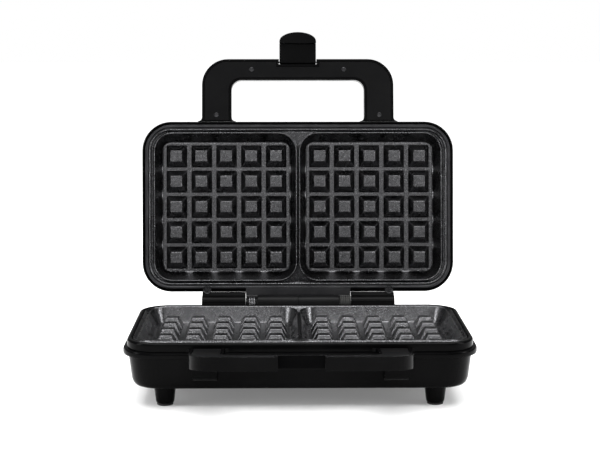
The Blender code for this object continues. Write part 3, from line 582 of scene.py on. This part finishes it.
def peg_field(shape, side):
    """Pegs of one cavity, drawn up out of a grid of cells. Gives back the grid's outer edges."""
    place = Matrix.Translation((side * CAVITY_FLOOR_X, 0.0, -CAVITY_DEPTH))
    spans = Matrix.Diagonal((PEG_PITCH[0] * PEGS_A_SIDE, PEG_PITCH[1] * PEGS_A_SIDE, 1.0, 1.0))
    old, old_edges = set(shape.faces), set(shape.edges)
    grid = bmesh.ops.create_grid(shape, x_segments=PEGS_A_SIDE, y_segments=PEGS_A_SIDE, size=0.5,
                                 matrix=place @ spans)
    reach_x = PEG_PITCH[0] * PEGS_A_SIDE / 2
    reach_y = PEG_PITCH[1] * PEGS_A_SIDE / 2
    middle = place.translation
    corners = [vert for vert in grid["verts"] if abs(vert.co.x - middle.x) > reach_x - 0.1
               and abs(vert.co.y) > reach_y - 0.1]
    bmesh.ops.scale(shape, vec=(0.965, 0.965, 1.0), verts=corners, space=Matrix.Translation(-middle))
    cells = [face for face in shape.faces if face not in old]
    bmesh.ops.inset_individual(shape, faces=cells, thickness=1.2, depth=0.0, use_even_offset=True)
    for row in range(PEGS_A_SIDE):
        for column in range(PEGS_A_SIDE):
            cell = cells[row * PEGS_A_SIDE + column]
            raise_peg(shape, cell, middle)
    return [edge for edge in shape.edges if edge not in old_edges and len(edge.link_faces) == 1]


def raise_peg(shape, cell, middle):
    """Square up one cell to a peg's foot and draw the peg up from it."""
    column = round((cell.calc_center_median().x - middle.x) / PEG_PITCH[0])
    row = round(cell.calc_center_median().y / PEG_PITCH[1])
    centre = Vector((middle.x + column * PEG_PITCH[0], row * PEG_PITCH[1], middle.z))
    fit(shape, cell, centre, PEG_BASE, 0.0)
    made = bmesh.ops.extrude_discrete_faces(shape, faces=[cell])
    fit(shape, made["faces"][0], centre, PEG_TOP, PEG_HEIGHT)


def fit(shape, face, centre, size, height):
    """Make a four-cornered face a level rectangle of a size round a centre."""
    for vert in face.verts:
        side_x = math.copysign(size[0] / 2, vert.co.x - centre.x)
        side_y = math.copysign(size[1] / 2, vert.co.y - centre.y)
        vert.co = centre + Vector((side_x, side_y, height))


def waffle_plate():
    """Cast plate: stepped flange, two cavities with rounded lips, pegs with rounded edges."""
    shape = bmesh.new()
    outside = [(PLATE_UNDERSIDE, -PLATE_DEPTH, 0.0), (PLATE_BODY, -PLATE_EDGE, 0.0)]
    outside += rows_of(PLATE, [(-PLATE_EDGE, 0.0), (-0.9, 0.0), (-0.45, 0.15), (-0.2, 0.5), (-0.2, 0.75),
                               (-0.5, 1.1), (GROOVE, 2.5)])
    first, face_edges = grow(shape, [(size, z, inset, 0.0, 0.0) for size, z, inset in outside])
    bmesh.ops.edgeloop_fill(shape, edges=first)
    lip = [(GROOVE, -1.72), (-0.5, -0.85), (-0.12, -0.6), (0.0, -0.35), (0.0, -0.15), (-0.15, 0.1),
           (-0.5, 0.3), (-1.1, 0.5)]
    for side in (-1, 1):
        rows = [(CAVITY_RIM, z, inset, side * CAVITY_RIM_X, 0.0) for z, inset in lip]
        rows.append((CAVITY_FLOOR, -CAVITY_DEPTH, 0.0, side * CAVITY_FLOOR_X, 0.0))
        mouth, floor = grow(shape, rows)
        border = peg_field(shape, side)
        bmesh.ops.triangle_fill(shape, edges=floor + border, use_beauty=True, use_dissolve=False)
        face_edges += mouth
    bmesh.ops.triangle_fill(shape, edges=face_edges, use_beauty=True, use_dissolve=False)
    bmesh.ops.recalc_face_normals(shape, faces=shape.faces)
    round_plate_edges(shape)
    return shape


def round_plate_edges(shape):
    """The cavity floors' edges, then the pegs: tops and corners first, feet last."""
    floor_z = -CAVITY_DEPTH
    top_z = floor_z + PEG_HEIGHT

    def on_floor(co):
        return abs(co.z - floor_z) < 0.01

    def in_field(co):
        return abs(abs(co.x) - CAVITY_FLOOR_X) < 62.0 and abs(co.y) < 63.2

    def at_foot(edge):
        return all(on_floor(vert.co) and in_field(vert.co) for vert in edge.verts)

    hems = [edge for edge in bent_edges(shape, 25, on_floor) if not at_foot(edge)]
    crests = [edge for edge in bent_edges(shape, 25, in_field) if not at_foot(edge)
              and abs(max(vert.co.z for vert in edge.verts) - top_z) < 0.01]
    round_edges(shape, hems, 1.6, 3)
    round_edges(shape, crests, 0.55, 3)
    round_edges(shape, [edge for edge in bent_edges(shape, 25, on_floor) if at_foot(edge)], 0.4, 2)


for level, place, body in (("lower", LOWER_PLATE, "base"), ("upper", UPPER_PLATE, "lid")):
    even_light(add_piece(level + "_waffle_plate", waffle_plate(), place, body, "nonstick_coating",
                         [level + "_plate"]))


# ------------------------------------------------------------------ base

def base_shell():
    """Tub with a rounded foot edge, a rolled lip and a thin wall."""
    curve = [(between(BOTTOM, WALL_LOW, share), z, 0.0)
             for share, z in ((0.0, 18.0), (0.32, 18.5), (0.58, 19.6), (0.78, 21.3), (0.92, 23.3))]
    outer = curve + [(WALL_LOW, 25.0, 0.0), (between(WALL_LOW, WALL_TOP, 0.5), 35.5, 0.0)]
    outer += rows_of(WALL_TOP, [(46.0, 0.0), (46.4, -0.5)])
    outer += rows_of(LIP, [(46.4, 1.4), (46.8, 0.42), (47.8, 0.0), (50.8, 0.0), (51.8, 0.42), (52.2, 1.4)])
    inner = [(WALL_TOP, 52.2, 2.5), (WALL_TOP, 46.4, 2.5), (WALL_LOW, 23.3, 2.5), (BOTTOM, 23.3, 14.0),
             (BOTTOM, 20.8, 14.0), (BOTTOM, 20.8, 2.3), (BOTTOM, 18.0, 2.3)]
    shell = stack(outer + inner, closed=True)
    return carve(shell, [pillar(6.3, 70.0, 95.0, Matrix.Translation((GLAND_X, 0.0, GLAND_Z)) @ TO_BACK)])


add_piece("base_shell", base_shell(), BASE, "base", "black_plastic", ["base_housing"], sharp=40)


def bezel():
    """Rim frame with a rounded outer edge and a chamfer round the plate."""
    ledge = PARTING - PLATE_EDGE - 0.3
    rows = [(RIM, 52.5, 0.0)] + quarter(RIM, PARTING - 2.0, 0.0, 2.0, 1.0)
    rows += rows_of(OPENING, [(PARTING, -0.9), (PARTING - 0.3, -0.3), (PARTING - 0.9, 0.0), (ledge, 0.0),
                              (ledge, 3.8), (52.5, 3.8)])
    return stack(rows, closed=True)


add_piece("base_bezel", bezel(), BASE, "base", "black_plastic", ["base_rim_frame"], sharp=40)


# ------------------------------------------------------------------ handles

def sheared(shape, rise):
    """Bend a handle piece up in front of its crease."""
    split_at(shape, -CREASE)
    slope = Matrix.Identity(4)
    slope[2][1] = -rise
    front = [vert for vert in shape.verts if vert.co.y < -CREASE]
    there = Matrix.Translation((0.0, -CREASE, 0.0))
    bmesh.ops.transform(shape, matrix=there @ slope @ there.inverted(), verts=front)
    return shape


def grip_plan(inset, root, notch_half, notch_depth, strip=0.0):
    """U-shaped plan of a handle. With a strip at the root, its corners there are filleted."""
    half, front, hole = GRIP_HALF - inset, -GRIP_REACH + inset, HOLE_HALF + inset
    hole_front = -HOLE_REACH - inset
    back = -GRIP_REACH + notch_depth
    left = [(-half, root)]
    right = [(half, root), (hole, root)]
    last = [(-hole, root)]
    if strip:
        left = [(-half - ROOT_FILLET, root), (-half - ROOT_FILLET, root - strip), (-half, root - strip)]
        right = [(half, root - strip), (half + ROOT_FILLET, root - strip), (half + ROOT_FILLET, root),
                 (hole - ROOT_FILLET, root), (hole - ROOT_FILLET, root - strip), (hole, root - strip)]
        last = [(-hole, root - strip), (-hole + ROOT_FILLET, root - strip), (-hole + ROOT_FILLET, root)]
    notch = [(-notch_half, front), (-notch_half, back), (notch_half, back), (notch_half, front)]
    points = left + [(-half, front)] + notch + [(half, front)] + right
    points += [(hole, hole_front), (-hole, hole_front)] + last
    shape, corners = plate_of(points)

    def pick(places):
        return [corners[points.index(place)] for place in places]

    round_corners(shape, pick([(-half, front), (half, front)]), GRIP_CORNER - inset, 12)
    round_corners(shape, pick([(hole, hole_front), (-hole, hole_front)]), HOLE_CORNER + inset, 8)
    if strip:
        inner = [(side * edge, root - strip) for side in (-1, 1) for edge in (half, hole)]
        round_corners(shape, pick(inner), ROOT_FILLET - 0.1, 6)
    return shape


def round_rims(shape, width, steps, root=-4.4):
    """Round the sharp edges of a handle in front of its root."""
    return round_edges(shape, bent_edges(shape, 40, lambda co: co.y < root), width, steps)


def face_height(y, rise):
    return rise * max(0.0, -y - CREASE)


def grip_body(side, rise, notch):
    """Handle body on one side of z = 0, with rounded edges and a recess for its cover."""
    notch_half, notch_depth, cover_notch = notch
    low, high = sorted((0.0, side * GRIP_THICK))
    body = thicken(grip_plan(0.0, -0.3, notch_half, notch_depth, strip=0.3), low, high)
    if cover_notch > notch_depth:
        back = [vert for vert in body.verts if abs(vert.co.y + GRIP_REACH - notch_depth) < 0.01
                and abs(abs(vert.co.x) - notch_half) < 0.01 and vert.co.z > -0.01]
        bmesh.ops.translate(body, verts=back, vec=(0.0, cover_notch - notch_depth, 0.0))
    body = round_rims(sheared(body, rise), 1.0, 3)
    low, high = sorted((-side * 3.0, side * (COVER_THICK + 0.3)))
    plan = grip_plan(COVER_INSET, -1.2, notch_half + COVER_INSET, cover_notch + COVER_INSET)
    return carve(body, [sheared(thicken(plan, low, high), rise)])


def grip_cover(side, rise, notch):
    """Cover that lies in the recess with a fine gap round it."""
    low, high = sorted((side * 0.1, side * COVER_THICK))
    gap = COVER_INSET + 0.3
    cover = thicken(grip_plan(gap, -1.5, notch[0] + gap, notch[2] + gap), low, high)
    return round_rims(sheared(cover, rise), 0.35, 2, root=0.0)


def leg_bracket(side):
    """Tapered rib under a handle leg, against the housing's front wall."""
    points = [(0.4, -9.5), (-13.5, -9.5), (-5.0, -26.6), (-1.6, -29.0), (2.4, -29.0)]
    shape, corners = plate_of(points)
    round_corners(shape, corners[2:4], 1.6, 4)
    low, high = sorted((side * 73.0, side * 94.0))
    rib = along_x(thicken(shape, low, high))
    return round_edges(rib, bent_edges(rib, 40, lambda co: co.z < -12.5 and co.y < -0.5), 0.9, 3)


def screw(name, place, body, node, size, ringed=False):
    """Screw with a cross recess in a domed head, or in a flat one with a ring. The head stands on z = 0."""
    head, height, shank, length = size
    crown = [(0.0, 1.0), (0.45, 0.97), (0.8, 0.72), (0.96, 0.35), (1.0, 0.0)]
    if ringed:
        crown = [(0.0, 0.50), (0.50, 0.46), (0.54, 0.05), (0.70, 0.05), (0.74, 0.9), (0.80, 1.0), (0.92, 1.0),
                 (1.0, 0.8), (1.0, 0.0)]
    shape = turned([(head * across, height * up) for across, up in crown]
                   + [(shank, 0.0), (shank, -length), (0.0, -length)], steps=36)
    slot, deep = head * 0.14, height * (0.9 if ringed else 0.6)
    arms = [block((-head * 0.55, -slot, height - deep), (head * 0.55, slot, height + 1.0)),
            block((-slot, -head * 0.55, height - deep), (slot, head * 0.55, height + 1.0))]
    add_piece(name, carve(shape, arms), place, body, "screw_steel", [node], sharp=35)


def grip_screw_place(grip, x, y, side, rise):
    lean = math.atan(rise) if -y > CREASE else 0.0
    turn = Matrix.Rotation(math.pi - lean if side > 0 else -lean, 4, "X")
    return shifted(grip, x, y, face_height(y, rise) - side * 0.05) @ turn


def base_grip():
    """Handle with its two ribs, cleared for the housing's lip and for the latch's hook."""
    body = grip_body(-1, BASE_GRIP_RISE, BASE_NOTCH)
    body = carve(body, [leg_bracket(-1), leg_bracket(1)], "UNION")
    low, high = (height - BASE_GRIP_TOP for height in SHELL_SEAT)
    clearance = stack([(LIP, low, -0.3), (LIP, high, -0.3)], caps=True, y=RIM[1] / 2)
    half, front = BASE_NOTCH[0], -GRIP_REACH
    low = face_height(front, BASE_GRIP_RISE) - GRIP_THICK
    hook_seat = block((-half, front - 2.0, low - 4.0), (half, front + 12.2, low + 0.1))
    return carve(body, [clearance, hook_seat])


def lid_grip():
    return grip_body(1, LID_GRIP_RISE, LID_NOTCH)


for body, place, side, rise, notch, make, bar_screw, screw_name in (
        ("base", BASE_GRIP, -1, BASE_GRIP_RISE, BASE_NOTCH, base_grip, (46.0, 10.5), "screw_"),
        ("lid", LID_GRIP, 1, LID_GRIP_RISE, LID_NOTCH, lid_grip, (46.1, 10.3), "bar_screw_")):
    even_light(add_piece(body + "_grip", make(), place, body, "black_plastic", [body + "_handle"], sharp=50))
    even_light(add_piece(body + "_grip_cover", grip_cover(side, rise, notch), place, body, "satin_plastic",
                         [body + "_handle_cover"]))
    for hand, sign in (("left", -1), ("right", 1)):
        there = grip_screw_place(place, sign * bar_screw[0], bar_screw[1] - GRIP_REACH, side, rise)
        screw(f"{body}_grip_{screw_name}{hand}", there, body, f"{body}_handle_{screw_name}{hand}", GRIP_SCREW)

for hand, sign in (("left", -1), ("right", 1)):
    there = grip_screw_place(LID_GRIP, sign * LEG_SCREW[0], LEG_SCREW[1], 1, LID_GRIP_RISE)
    screw("lid_grip_leg_screw_" + hand, there, "lid", "lid_handle_leg_screw_" + hand, GRIP_SCREW)


# ------------------------------------------------------------------ latch

def latch():
    """Tongue with a rounded tip and a hook bar under it. Its origin is on the pin."""
    points = [(LATCH_HALF, LATCH_HALF_THICK), (-LATCH_HALF, LATCH_HALF_THICK)]
    tip = [(LATCH_HALF * math.cos(turn), -LATCH_REACH + LATCH_TIP - LATCH_TIP * math.sin(turn))
           for turn in (math.pi * (1 - step / 16) for step in range(17))]
    shape, _corners = plate_of(points + tip)
    thicken(shape, -LATCH_HALF_THICK, LATCH_HALF_THICK)
    split_at(shape, -LATCH_LEDGE)
    under = [face for face in shape.faces
             if face.normal.z < -0.9 and face.calc_center_median().y < -LATCH_LEDGE]
    made = bmesh.ops.extrude_face_region(shape, geom=under)
    lowered = [item for item in made["geom"] if isinstance(item, bmesh.types.BMVert)]
    bmesh.ops.translate(shape, verts=lowered, vec=(0.0, 0.0, LATCH_HALF_THICK - HOOK_DROP))
    bmesh.ops.delete(shape, geom=[face for face in under if face.is_valid], context="FACES_ONLY")
    bmesh.ops.recalc_face_normals(shape, faces=shape.faces)
    pin_edges = [edge for edge in bent_edges(shape, 40, lambda co: abs(co.y - LATCH_HALF_THICK) < 0.01)
                 if abs(edge.verts[0].co.z - edge.verts[1].co.z) < 0.01]
    round_edges(shape, pin_edges, LATCH_HALF_THICK * 0.98, 6)
    return round_edges(shape, bent_edges(shape, 40, lambda co: True), 0.7, 3)


LATCH_PLACE = Matrix.Translation(latch_pin) @ Matrix.Rotation(-OPEN_ANGLE, 4, "X")
even_light(add_piece("latch_tongue", latch(), LATCH_PLACE, "latch", "black_plastic", ["latch"]))


# ------------------------------------------------------------------ lid

def arm_screw_pocket(side):
    there = Matrix.Translation((side * ARM_SCREW_X, ARM_SCREW_Y, 0.0))
    return pillar(ARM_SCREW_HEAD + 0.3, LID_FACE - 1.0, LID_FACE + 7.8, there)


def hinge_pockets():
    """Cuts in the lid's rim for the hinge plate and for the round screws beside it."""
    half, front = HINGE_PLATE_HALF + 0.3, HINGE_PLATE_FRONT - 0.3
    plate_pocket = block((-half, front, LID_FACE - 1.0), (half, -AXIS_BACK + 1.5, LID_FACE + 1.5))
    return [plate_pocket, arm_screw_pocket(-1), arm_screw_pocket(1)]


def lid_shell():
    """Crowned shell with a rounded rim, open towards the plate."""
    wall = 2.2
    places = [(LID_TOP - 2.4, 40.0), (LID_TOP - 3.4, 20.0), (LID_TOP - 6.5, 11.0), (LID_TOP - 10.5, 6.4),
              (LID_TOP - 17.0, 3.8), (LID_TOP - 29.0, wall), (LID_FACE + 1.6, wall), (LID_FACE + 0.9, 1.8),
              (LID_FACE, 1.6)]
    places += [(LID_FACE, 0.9), (LID_FACE + 0.3, 0.3), (LID_FACE + 0.9, 0.0)]
    places += [(14.0, 0.0), (20.0, 0.35), (25.0, 1.0), (30.0, 2.2), (34.0, 3.8), (37.0, 5.9), (39.2, 8.6),
               (40.8, 12.5), (41.85, 19.0), (42.6, 26.0), (42.9, 34.0), (LID_TOP, 42.0)]
    shape = stack(rows_of(LID, places), caps=True, y=LID_MIDDLE)
    tools = [pillar(LENS_HOLE, LID_TOP - 8.0, LID_TOP + 4.0, Matrix.Translation((x, LAMP_Y, 0.0)))
             for x in (-LAMP_X, LAMP_X)]
    return carve(shape, tools + hinge_pockets())


add_piece("lid_shell", lid_shell(), LID_PLACE, "lid", "black_plastic", ["lid_housing"], sharp=40)


def lid_trim():
    """Grey frame between the shell's rim and the plate."""
    ledge = LID_FACE + PLATE_EDGE + 0.3
    outside = rows_of(LID, [(ledge + 2.5, 2.6), (LID_FACE + 1.6, 2.6), (LID_FACE + 0.8, 2.9),
                            (LID_FACE + 0.2, 3.1), (LID_FACE, 3.5)])
    inside = rows_of(OPENING, [(LID_FACE, -0.9), (LID_FACE + 0.3, -0.3), (LID_FACE + 0.9, 0.0), (ledge, 0.0),
                               (ledge, 3.8), (ledge + 2.5, 3.8)])
    return carve(stack(outside + inside, closed=True, y=LID_MIDDLE), hinge_pockets())


add_piece("lid_trim", lid_trim(), LID_PLACE, "lid", "grey_trim", ["lid_rim_frame"], sharp=40)


def hinge_plate():
    """Trim plate with a rolled edge that follows the barrel."""
    outline = [(HINGE_PLATE_FRONT, LID_FACE + 1.2), (HINGE_PLATE_FRONT, LID_FACE)]
    outline += arc(0.0, 0.0, ROLL_RADIUS, 161, 125, 14) + arc(0.0, 0.0, ROLL_RADIUS + 1.0, 125, 156, 14)
    shape, _corners = plate_of(outline)
    return along_x(thicken(shape, -HINGE_PLATE_HALF, HINGE_PLATE_HALF))


soften(add_piece("hinge_plate", hinge_plate(), LID_PLACE, "lid", "grey_trim", ["lid_hinge_plate"]), 0.25)


def hinge_arm(side):
    """Lug behind the lid: round at the pin, flat against the shell, bored for the pin."""
    points = [(-12.0, 16.0), (-12.0, LID_FACE + 0.6)] + arc(0.0, 0.0, BARREL_RADIUS, 170, 420, 30)
    shape, _corners = plate_of(points)
    low, high = sorted((side * ARM_INNER, side * ARM_OUTER))
    arm = along_x(thicken(shape, low, high))
    round_edges(arm, bent_edges(arm, 50, lambda co: co.y > -11.0), 0.5, 3)
    return carve(arm, [pillar(PIN_BORE, low - 5.0, high + 5.0, TO_RIGHT), arm_screw_pocket(side)])


for side, hand in ((-1, "left"), (1, "right")):
    even_light(add_piece("hinge_arm_" + hand, hinge_arm(side), LID_PLACE, "lid", "black_plastic",
                         ["lid_hinge_arm_" + hand], sharp=50))
    down = shifted(LID_PLACE, side * ARM_SCREW_X, ARM_SCREW_Y, LID_FACE + 2.2) @ UPSIDE_DOWN
    screw("hinge_arm_screw_" + hand, down, "lid", "lid_arm_screw_" + hand, (ARM_SCREW_HEAD, 1.9, 1.6, 4.5),
          ringed=True)


def lens():
    """Domed lens with a stepped inside."""
    return turned([(0.0, 1.25), (1.3, 1.15), (2.6, 0.85), (3.5, 0.4), (4.0, -0.2), (4.0, -4.0), (3.2, -4.0),
                   (3.2, -1.4), (2.4, -0.8), (0.0, -0.6)], steps=36)


for name, x, slot in (("power", -LAMP_X, "red_lens"), ("ready", LAMP_X, "green_lens")):
    add_piece(name + "_indicator_lens", lens(), shifted(LID_PLACE, x, LAMP_Y, LID_TOP - 1.0), "lid", slot,
              [name + "_lens"], sharp=50)


# ------------------------------------------------------------------ hinge on the base

def barrel():
    """Barrel with rounded ends, a seam half way and a boss for the spring, on a foot against the wall."""
    points = arc(0.0, 0.0, BARREL_RADIUS, -30, 195, 28)
    points += [(-8.4, -5.0), (-8.4, -11.6), (-13.0, -11.6), (-14.9, -28.0), (-9.0, -29.5), (3.0, -17.0)]
    shape, _corners = plate_of(points)
    end_shrink, seam_shrink = 0.93, 0.955
    bmesh.ops.translate(shape, verts=shape.verts, vec=(0.0, 0.0, -BARREL_HALF))
    bmesh.ops.scale(shape, vec=(end_shrink, end_shrink, 1.0), verts=shape.verts)
    face = shape.faces[:]
    for x, swell in ((-BARREL_HALF + 0.8, 1 / end_shrink), (-0.7, 1.0), (-0.35, seam_shrink), (0.35, 1.0),
                     (0.7, 1 / seam_shrink), (BARREL_HALF - 0.8, 1.0), (BARREL_HALF, end_shrink)):
        made = bmesh.ops.extrude_face_region(shape, geom=face)
        if x > -BARREL_HALF + 0.8:
            bmesh.ops.delete(shape, geom=face, context="FACES_ONLY")
        verts = [item for item in made["geom"] if isinstance(item, bmesh.types.BMVert)]
        face = [item for item in made["geom"] if isinstance(item, bmesh.types.BMFace)]
        bmesh.ops.translate(shape, verts=verts, vec=(0.0, 0.0, x - verts[0].co.z))
        bmesh.ops.scale(shape, vec=(swell, swell, 1.0), verts=verts)
    root, tip = -BARREL_HALF + 1.0, -ARM_INNER + 0.3
    boss = turned([(0.0, root), (SPRING_BOSS, root), (SPRING_BOSS, tip + 0.5), (SPRING_BOSS - 0.5, tip),
                   (0.0, tip)])
    bmesh.ops.transform(boss, matrix=TO_RIGHT, verts=boss.verts)
    shape = carve(along_x(shape), [boss], "UNION")
    return carve(shape, [pillar(PIN_BORE, -60.0, 60.0, TO_RIGHT)])


add_piece("hinge_barrel", barrel(), HINGE, "base", "satin_plastic", ["hinge_block"], sharp=35)


def coil():
    """Round wire wound three times about its boss."""
    shape = bmesh.new()
    turns, steps, pitch, wire = 3, 40, 2.2, 0.7
    start = Matrix.Translation((-49.6, 0.0, -SPRING_RADIUS))
    made = bmesh.ops.create_circle(shape, segments=12, radius=wire, cap_ends=False, matrix=start @ TO_FRONT)
    geometry = made["verts"] + list({edge for vert in made["verts"] for edge in vert.link_edges})
    bmesh.ops.spin(shape, geom=geometry, cent=(0, 0, 0), axis=(1, 0, 0), dvec=(pitch / steps, 0.0, 0.0),
                   angle=2 * math.pi * turns, steps=turns * steps, use_merge=False, use_duplicate=False)
    bmesh.ops.holes_fill(shape, edges=shape.edges, sides=12)
    return shape


add_piece("hinge_coil", coil(), HINGE, "base", "bright_steel", ["hinge_spring"], sharp=60)


def collar(start, end):
    """Ribbed rubber collar on the hinge pin."""
    profile = []
    ribs, inner, outer = 3, PIN_RADIUS + 0.5, COLLAR_RADIUS
    pitch = (end - start) / ribs
    for rib in range(ribs):
        top = end - rib * pitch
        profile += [(outer - 0.6, top), (outer - 0.1, top - 0.2), (outer, top - pitch * 0.3),
                    (outer - 0.1, top - pitch * 0.55), (outer - 0.9, top - pitch * 0.68)]
        if rib < ribs - 1:
            profile += [(outer - 1.0, top - pitch * 0.84), (outer - 0.9, top - pitch + 0.05)]
    profile += [(outer - 1.0, start), (inner, start), (inner, end)]
    return turned(profile, steps=36)


for body, place, start, end in (("base", HINGE, 41.4, 46.6), ("lid", LID_PLACE, 47.0, 52.2)):
    add_piece("lead_sleeve_" + body, collar(start, end), place @ TO_RIGHT, body, "rubber",
              ["lead_collar_" + body], sharp=60)


# ------------------------------------------------------------------ feet, gland, bottom screws

def under(node, z=0.0):
    """Place in the middle of a CAD node's plan, at a height in millimetres."""
    low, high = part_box(node)
    return Matrix.Translation(((low.x + high.x) / 2, (low.y + high.y) / 2, z * MM))


def stand():
    return turned([(0.0, HOUSING_FLOOR), (10.0, HOUSING_FLOOR), (9.85, 15.6), (9.3, 13.0), (8.5, 6.0),
                   (8.1, 3.2), (7.7, 2.3), (7.2, 2.0), (0.0, 2.0)])


def stand_pad():
    """Pad with a shallow dish in its underside."""
    return turned([(0.0, 1.7), (7.2, 1.7), (7.2, 0.5), (7.0, 0.15), (6.6, 0.0), (4.4, 0.0), (4.2, 0.4),
                   (0.0, 0.4)])


for corner_name in ("front_left", "rear_left", "front_right", "rear_right"):
    there = under("foot_" + corner_name)
    add_piece("stand_" + corner_name, stand(), there, "base", "black_plastic", ["foot_" + corner_name],
              sharp=50)
    add_piece("stand_pad_" + corner_name, stand_pad(), there, "base", "rubber", ["foot_pad_" + corner_name],
              sharp=50)


def gland():
    """Ribbed bush with a bore for the cord. Its flange stands on z = 0."""
    profile = [(4.6, 13.0), (5.0, 12.8), (5.1, 12.2), (5.1, 11.4), (4.7, 11.2), (4.7, 10.4)]
    for radius, top in ((5.3, 10.2), (5.6, 7.6)):
        profile += [(radius, top), (radius, top - 1.4), (radius - 0.4, top - 1.6), (radius - 0.4, top - 2.4)]
    profile += [(5.9, 5.0), (6.1, 3.2), (7.6, 2.4), (8.2, 1.8), (8.2, 0.3), (6.0, 0.3), (6.0, -5.0)]
    profile += [(3.4, -5.0), (3.4, 12.6), (3.8, 13.0)]
    return turned(profile, steps=36)


low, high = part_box("cord_gland")
gland_place = Matrix.Translation(((low.x + high.x) / 2, high.y - 0.013, (low.z + high.z) / 2)) @ TO_BACK
add_piece("cord_gland_bush", gland(), gland_place, "base", "rubber", ["cord_gland"], sharp=40)

for index in range(1, 5):
    node = f"bottom_screw_{index}"
    screw(f"bottom_cover_screw_{index}", under(node, HOUSING_FLOOR) @ UPSIDE_DOWN, "base", node, BOTTOM_SCREW)


# ------------------------------------------------------------------ finishes on the CAD nodes that stay

for part in frame["record"]["subparts"]:
    for held in frame["nodes"][part["node"]].material_slots:
        held.material = FINISHES[part["material_slot"]]


# ------------------------------------------------------------------ studio

def studio():
    """Pale floor, one broad soft light above, soft fills at the sides, and a bright plain surround."""
    mesh = bpy.data.meshes.new("studio_floor")
    shape = bmesh.new()
    bmesh.ops.create_grid(shape, x_segments=1, y_segments=1, size=9.0)
    shape.to_mesh(mesh)
    shape.free()
    floor = bpy.data.objects.new("studio_floor", mesh)
    bpy.context.scene.collection.objects.link(floor)
    paper = Finish("studio_paper", (0.80, 0.80, 0.80), 0.9, specular=0.0)
    paper.tint(paper.noise(0.8, 2.0), (0.82, 0.82, 0.82))
    paper.set("Emission Color", (1.0, 1.0, 1.0, 1.0)).set("Emission Strength", 0.17)
    mesh.materials.append(paper.material)
    floor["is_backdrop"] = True
    world = bpy.data.worlds.new("studio_surround")
    bpy.context.scene.world = world
    world.use_nodes = True
    nodes, links = world.node_tree.nodes, world.node_tree.links
    background = nodes["Background"]
    background.inputs["Color"].default_value = (1.0, 1.0, 1.0, 1.0)
    rays = nodes.new("ShaderNodeLightPath")
    level = nodes.new("ShaderNodeMapRange")
    level.inputs["To Min"].default_value = 0.22
    level.inputs["To Max"].default_value = 1.0
    links.new(rays.outputs["Is Camera Ray"], level.inputs["Value"])
    links.new(level.outputs["Result"], background.inputs["Strength"])
    for name, place, aim, power, width, height in (
            ("top_light", (0.0, 0.25, 1.75), (0.0, 0.0, 0.1), 40.0, 2.2, 1.2),
            ("left_light", (-1.6, -0.5, 0.8), (0.0, 0.0, 0.15), 17.0, 0.4, 1.2),
            ("right_light", (1.6, -0.5, 0.8), (0.0, 0.0, 0.15), 17.0, 0.4, 1.2),
            ("front_light", (0.0, -2.2, 0.9), (0.0, 0.1, 0.18), 6.5, 1.6, 0.9),
            ("edge_light", (0.0, -1.0, 1.5), (0.0, -0.1, 0.1), 7.0, 1.8, 0.1)):
        data = bpy.data.lights.new(name, "AREA")
        data.shape = "RECTANGLE"
        data.size, data.size_y = width, height
        data.energy = power
        lamp = bpy.data.objects.new(name, data)
        bpy.context.scene.collection.objects.link(lamp)
        lamp.location = place
        lamp.rotation_euler = (Vector(aim) - Vector(place)).to_track_quat("-Z", "Y").to_euler()
    sun = bpy.data.lights.new("sky_light", "SUN")
    sun.energy = 3.2
    sun.angle = math.radians(70.0)
    high = bpy.data.objects.new("sky_light", sun)
    bpy.context.scene.collection.objects.link(high)
    high.rotation_euler = (math.radians(-8.0), 0.0, 0.0)


def camera():
    """Long lens in front of the handles, a little above the plates, looking slightly down."""
    data = bpy.data.cameras.new("studio_camera")
    data.sensor_width = 36.0
    data.lens = 85.2
    item = bpy.data.objects.new("studio_camera", data)
    bpy.context.scene.collection.objects.link(item)
    item.location = (-0.0162, -1.3008, 0.3429)
    item.rotation_euler = (math.radians(90.0 - 8.405), 0.0, math.radians(-0.74))
    bpy.context.scene.camera = item


studio()
camera()
bpy.context.scene.view_settings.view_transform = "Standard"

low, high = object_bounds()
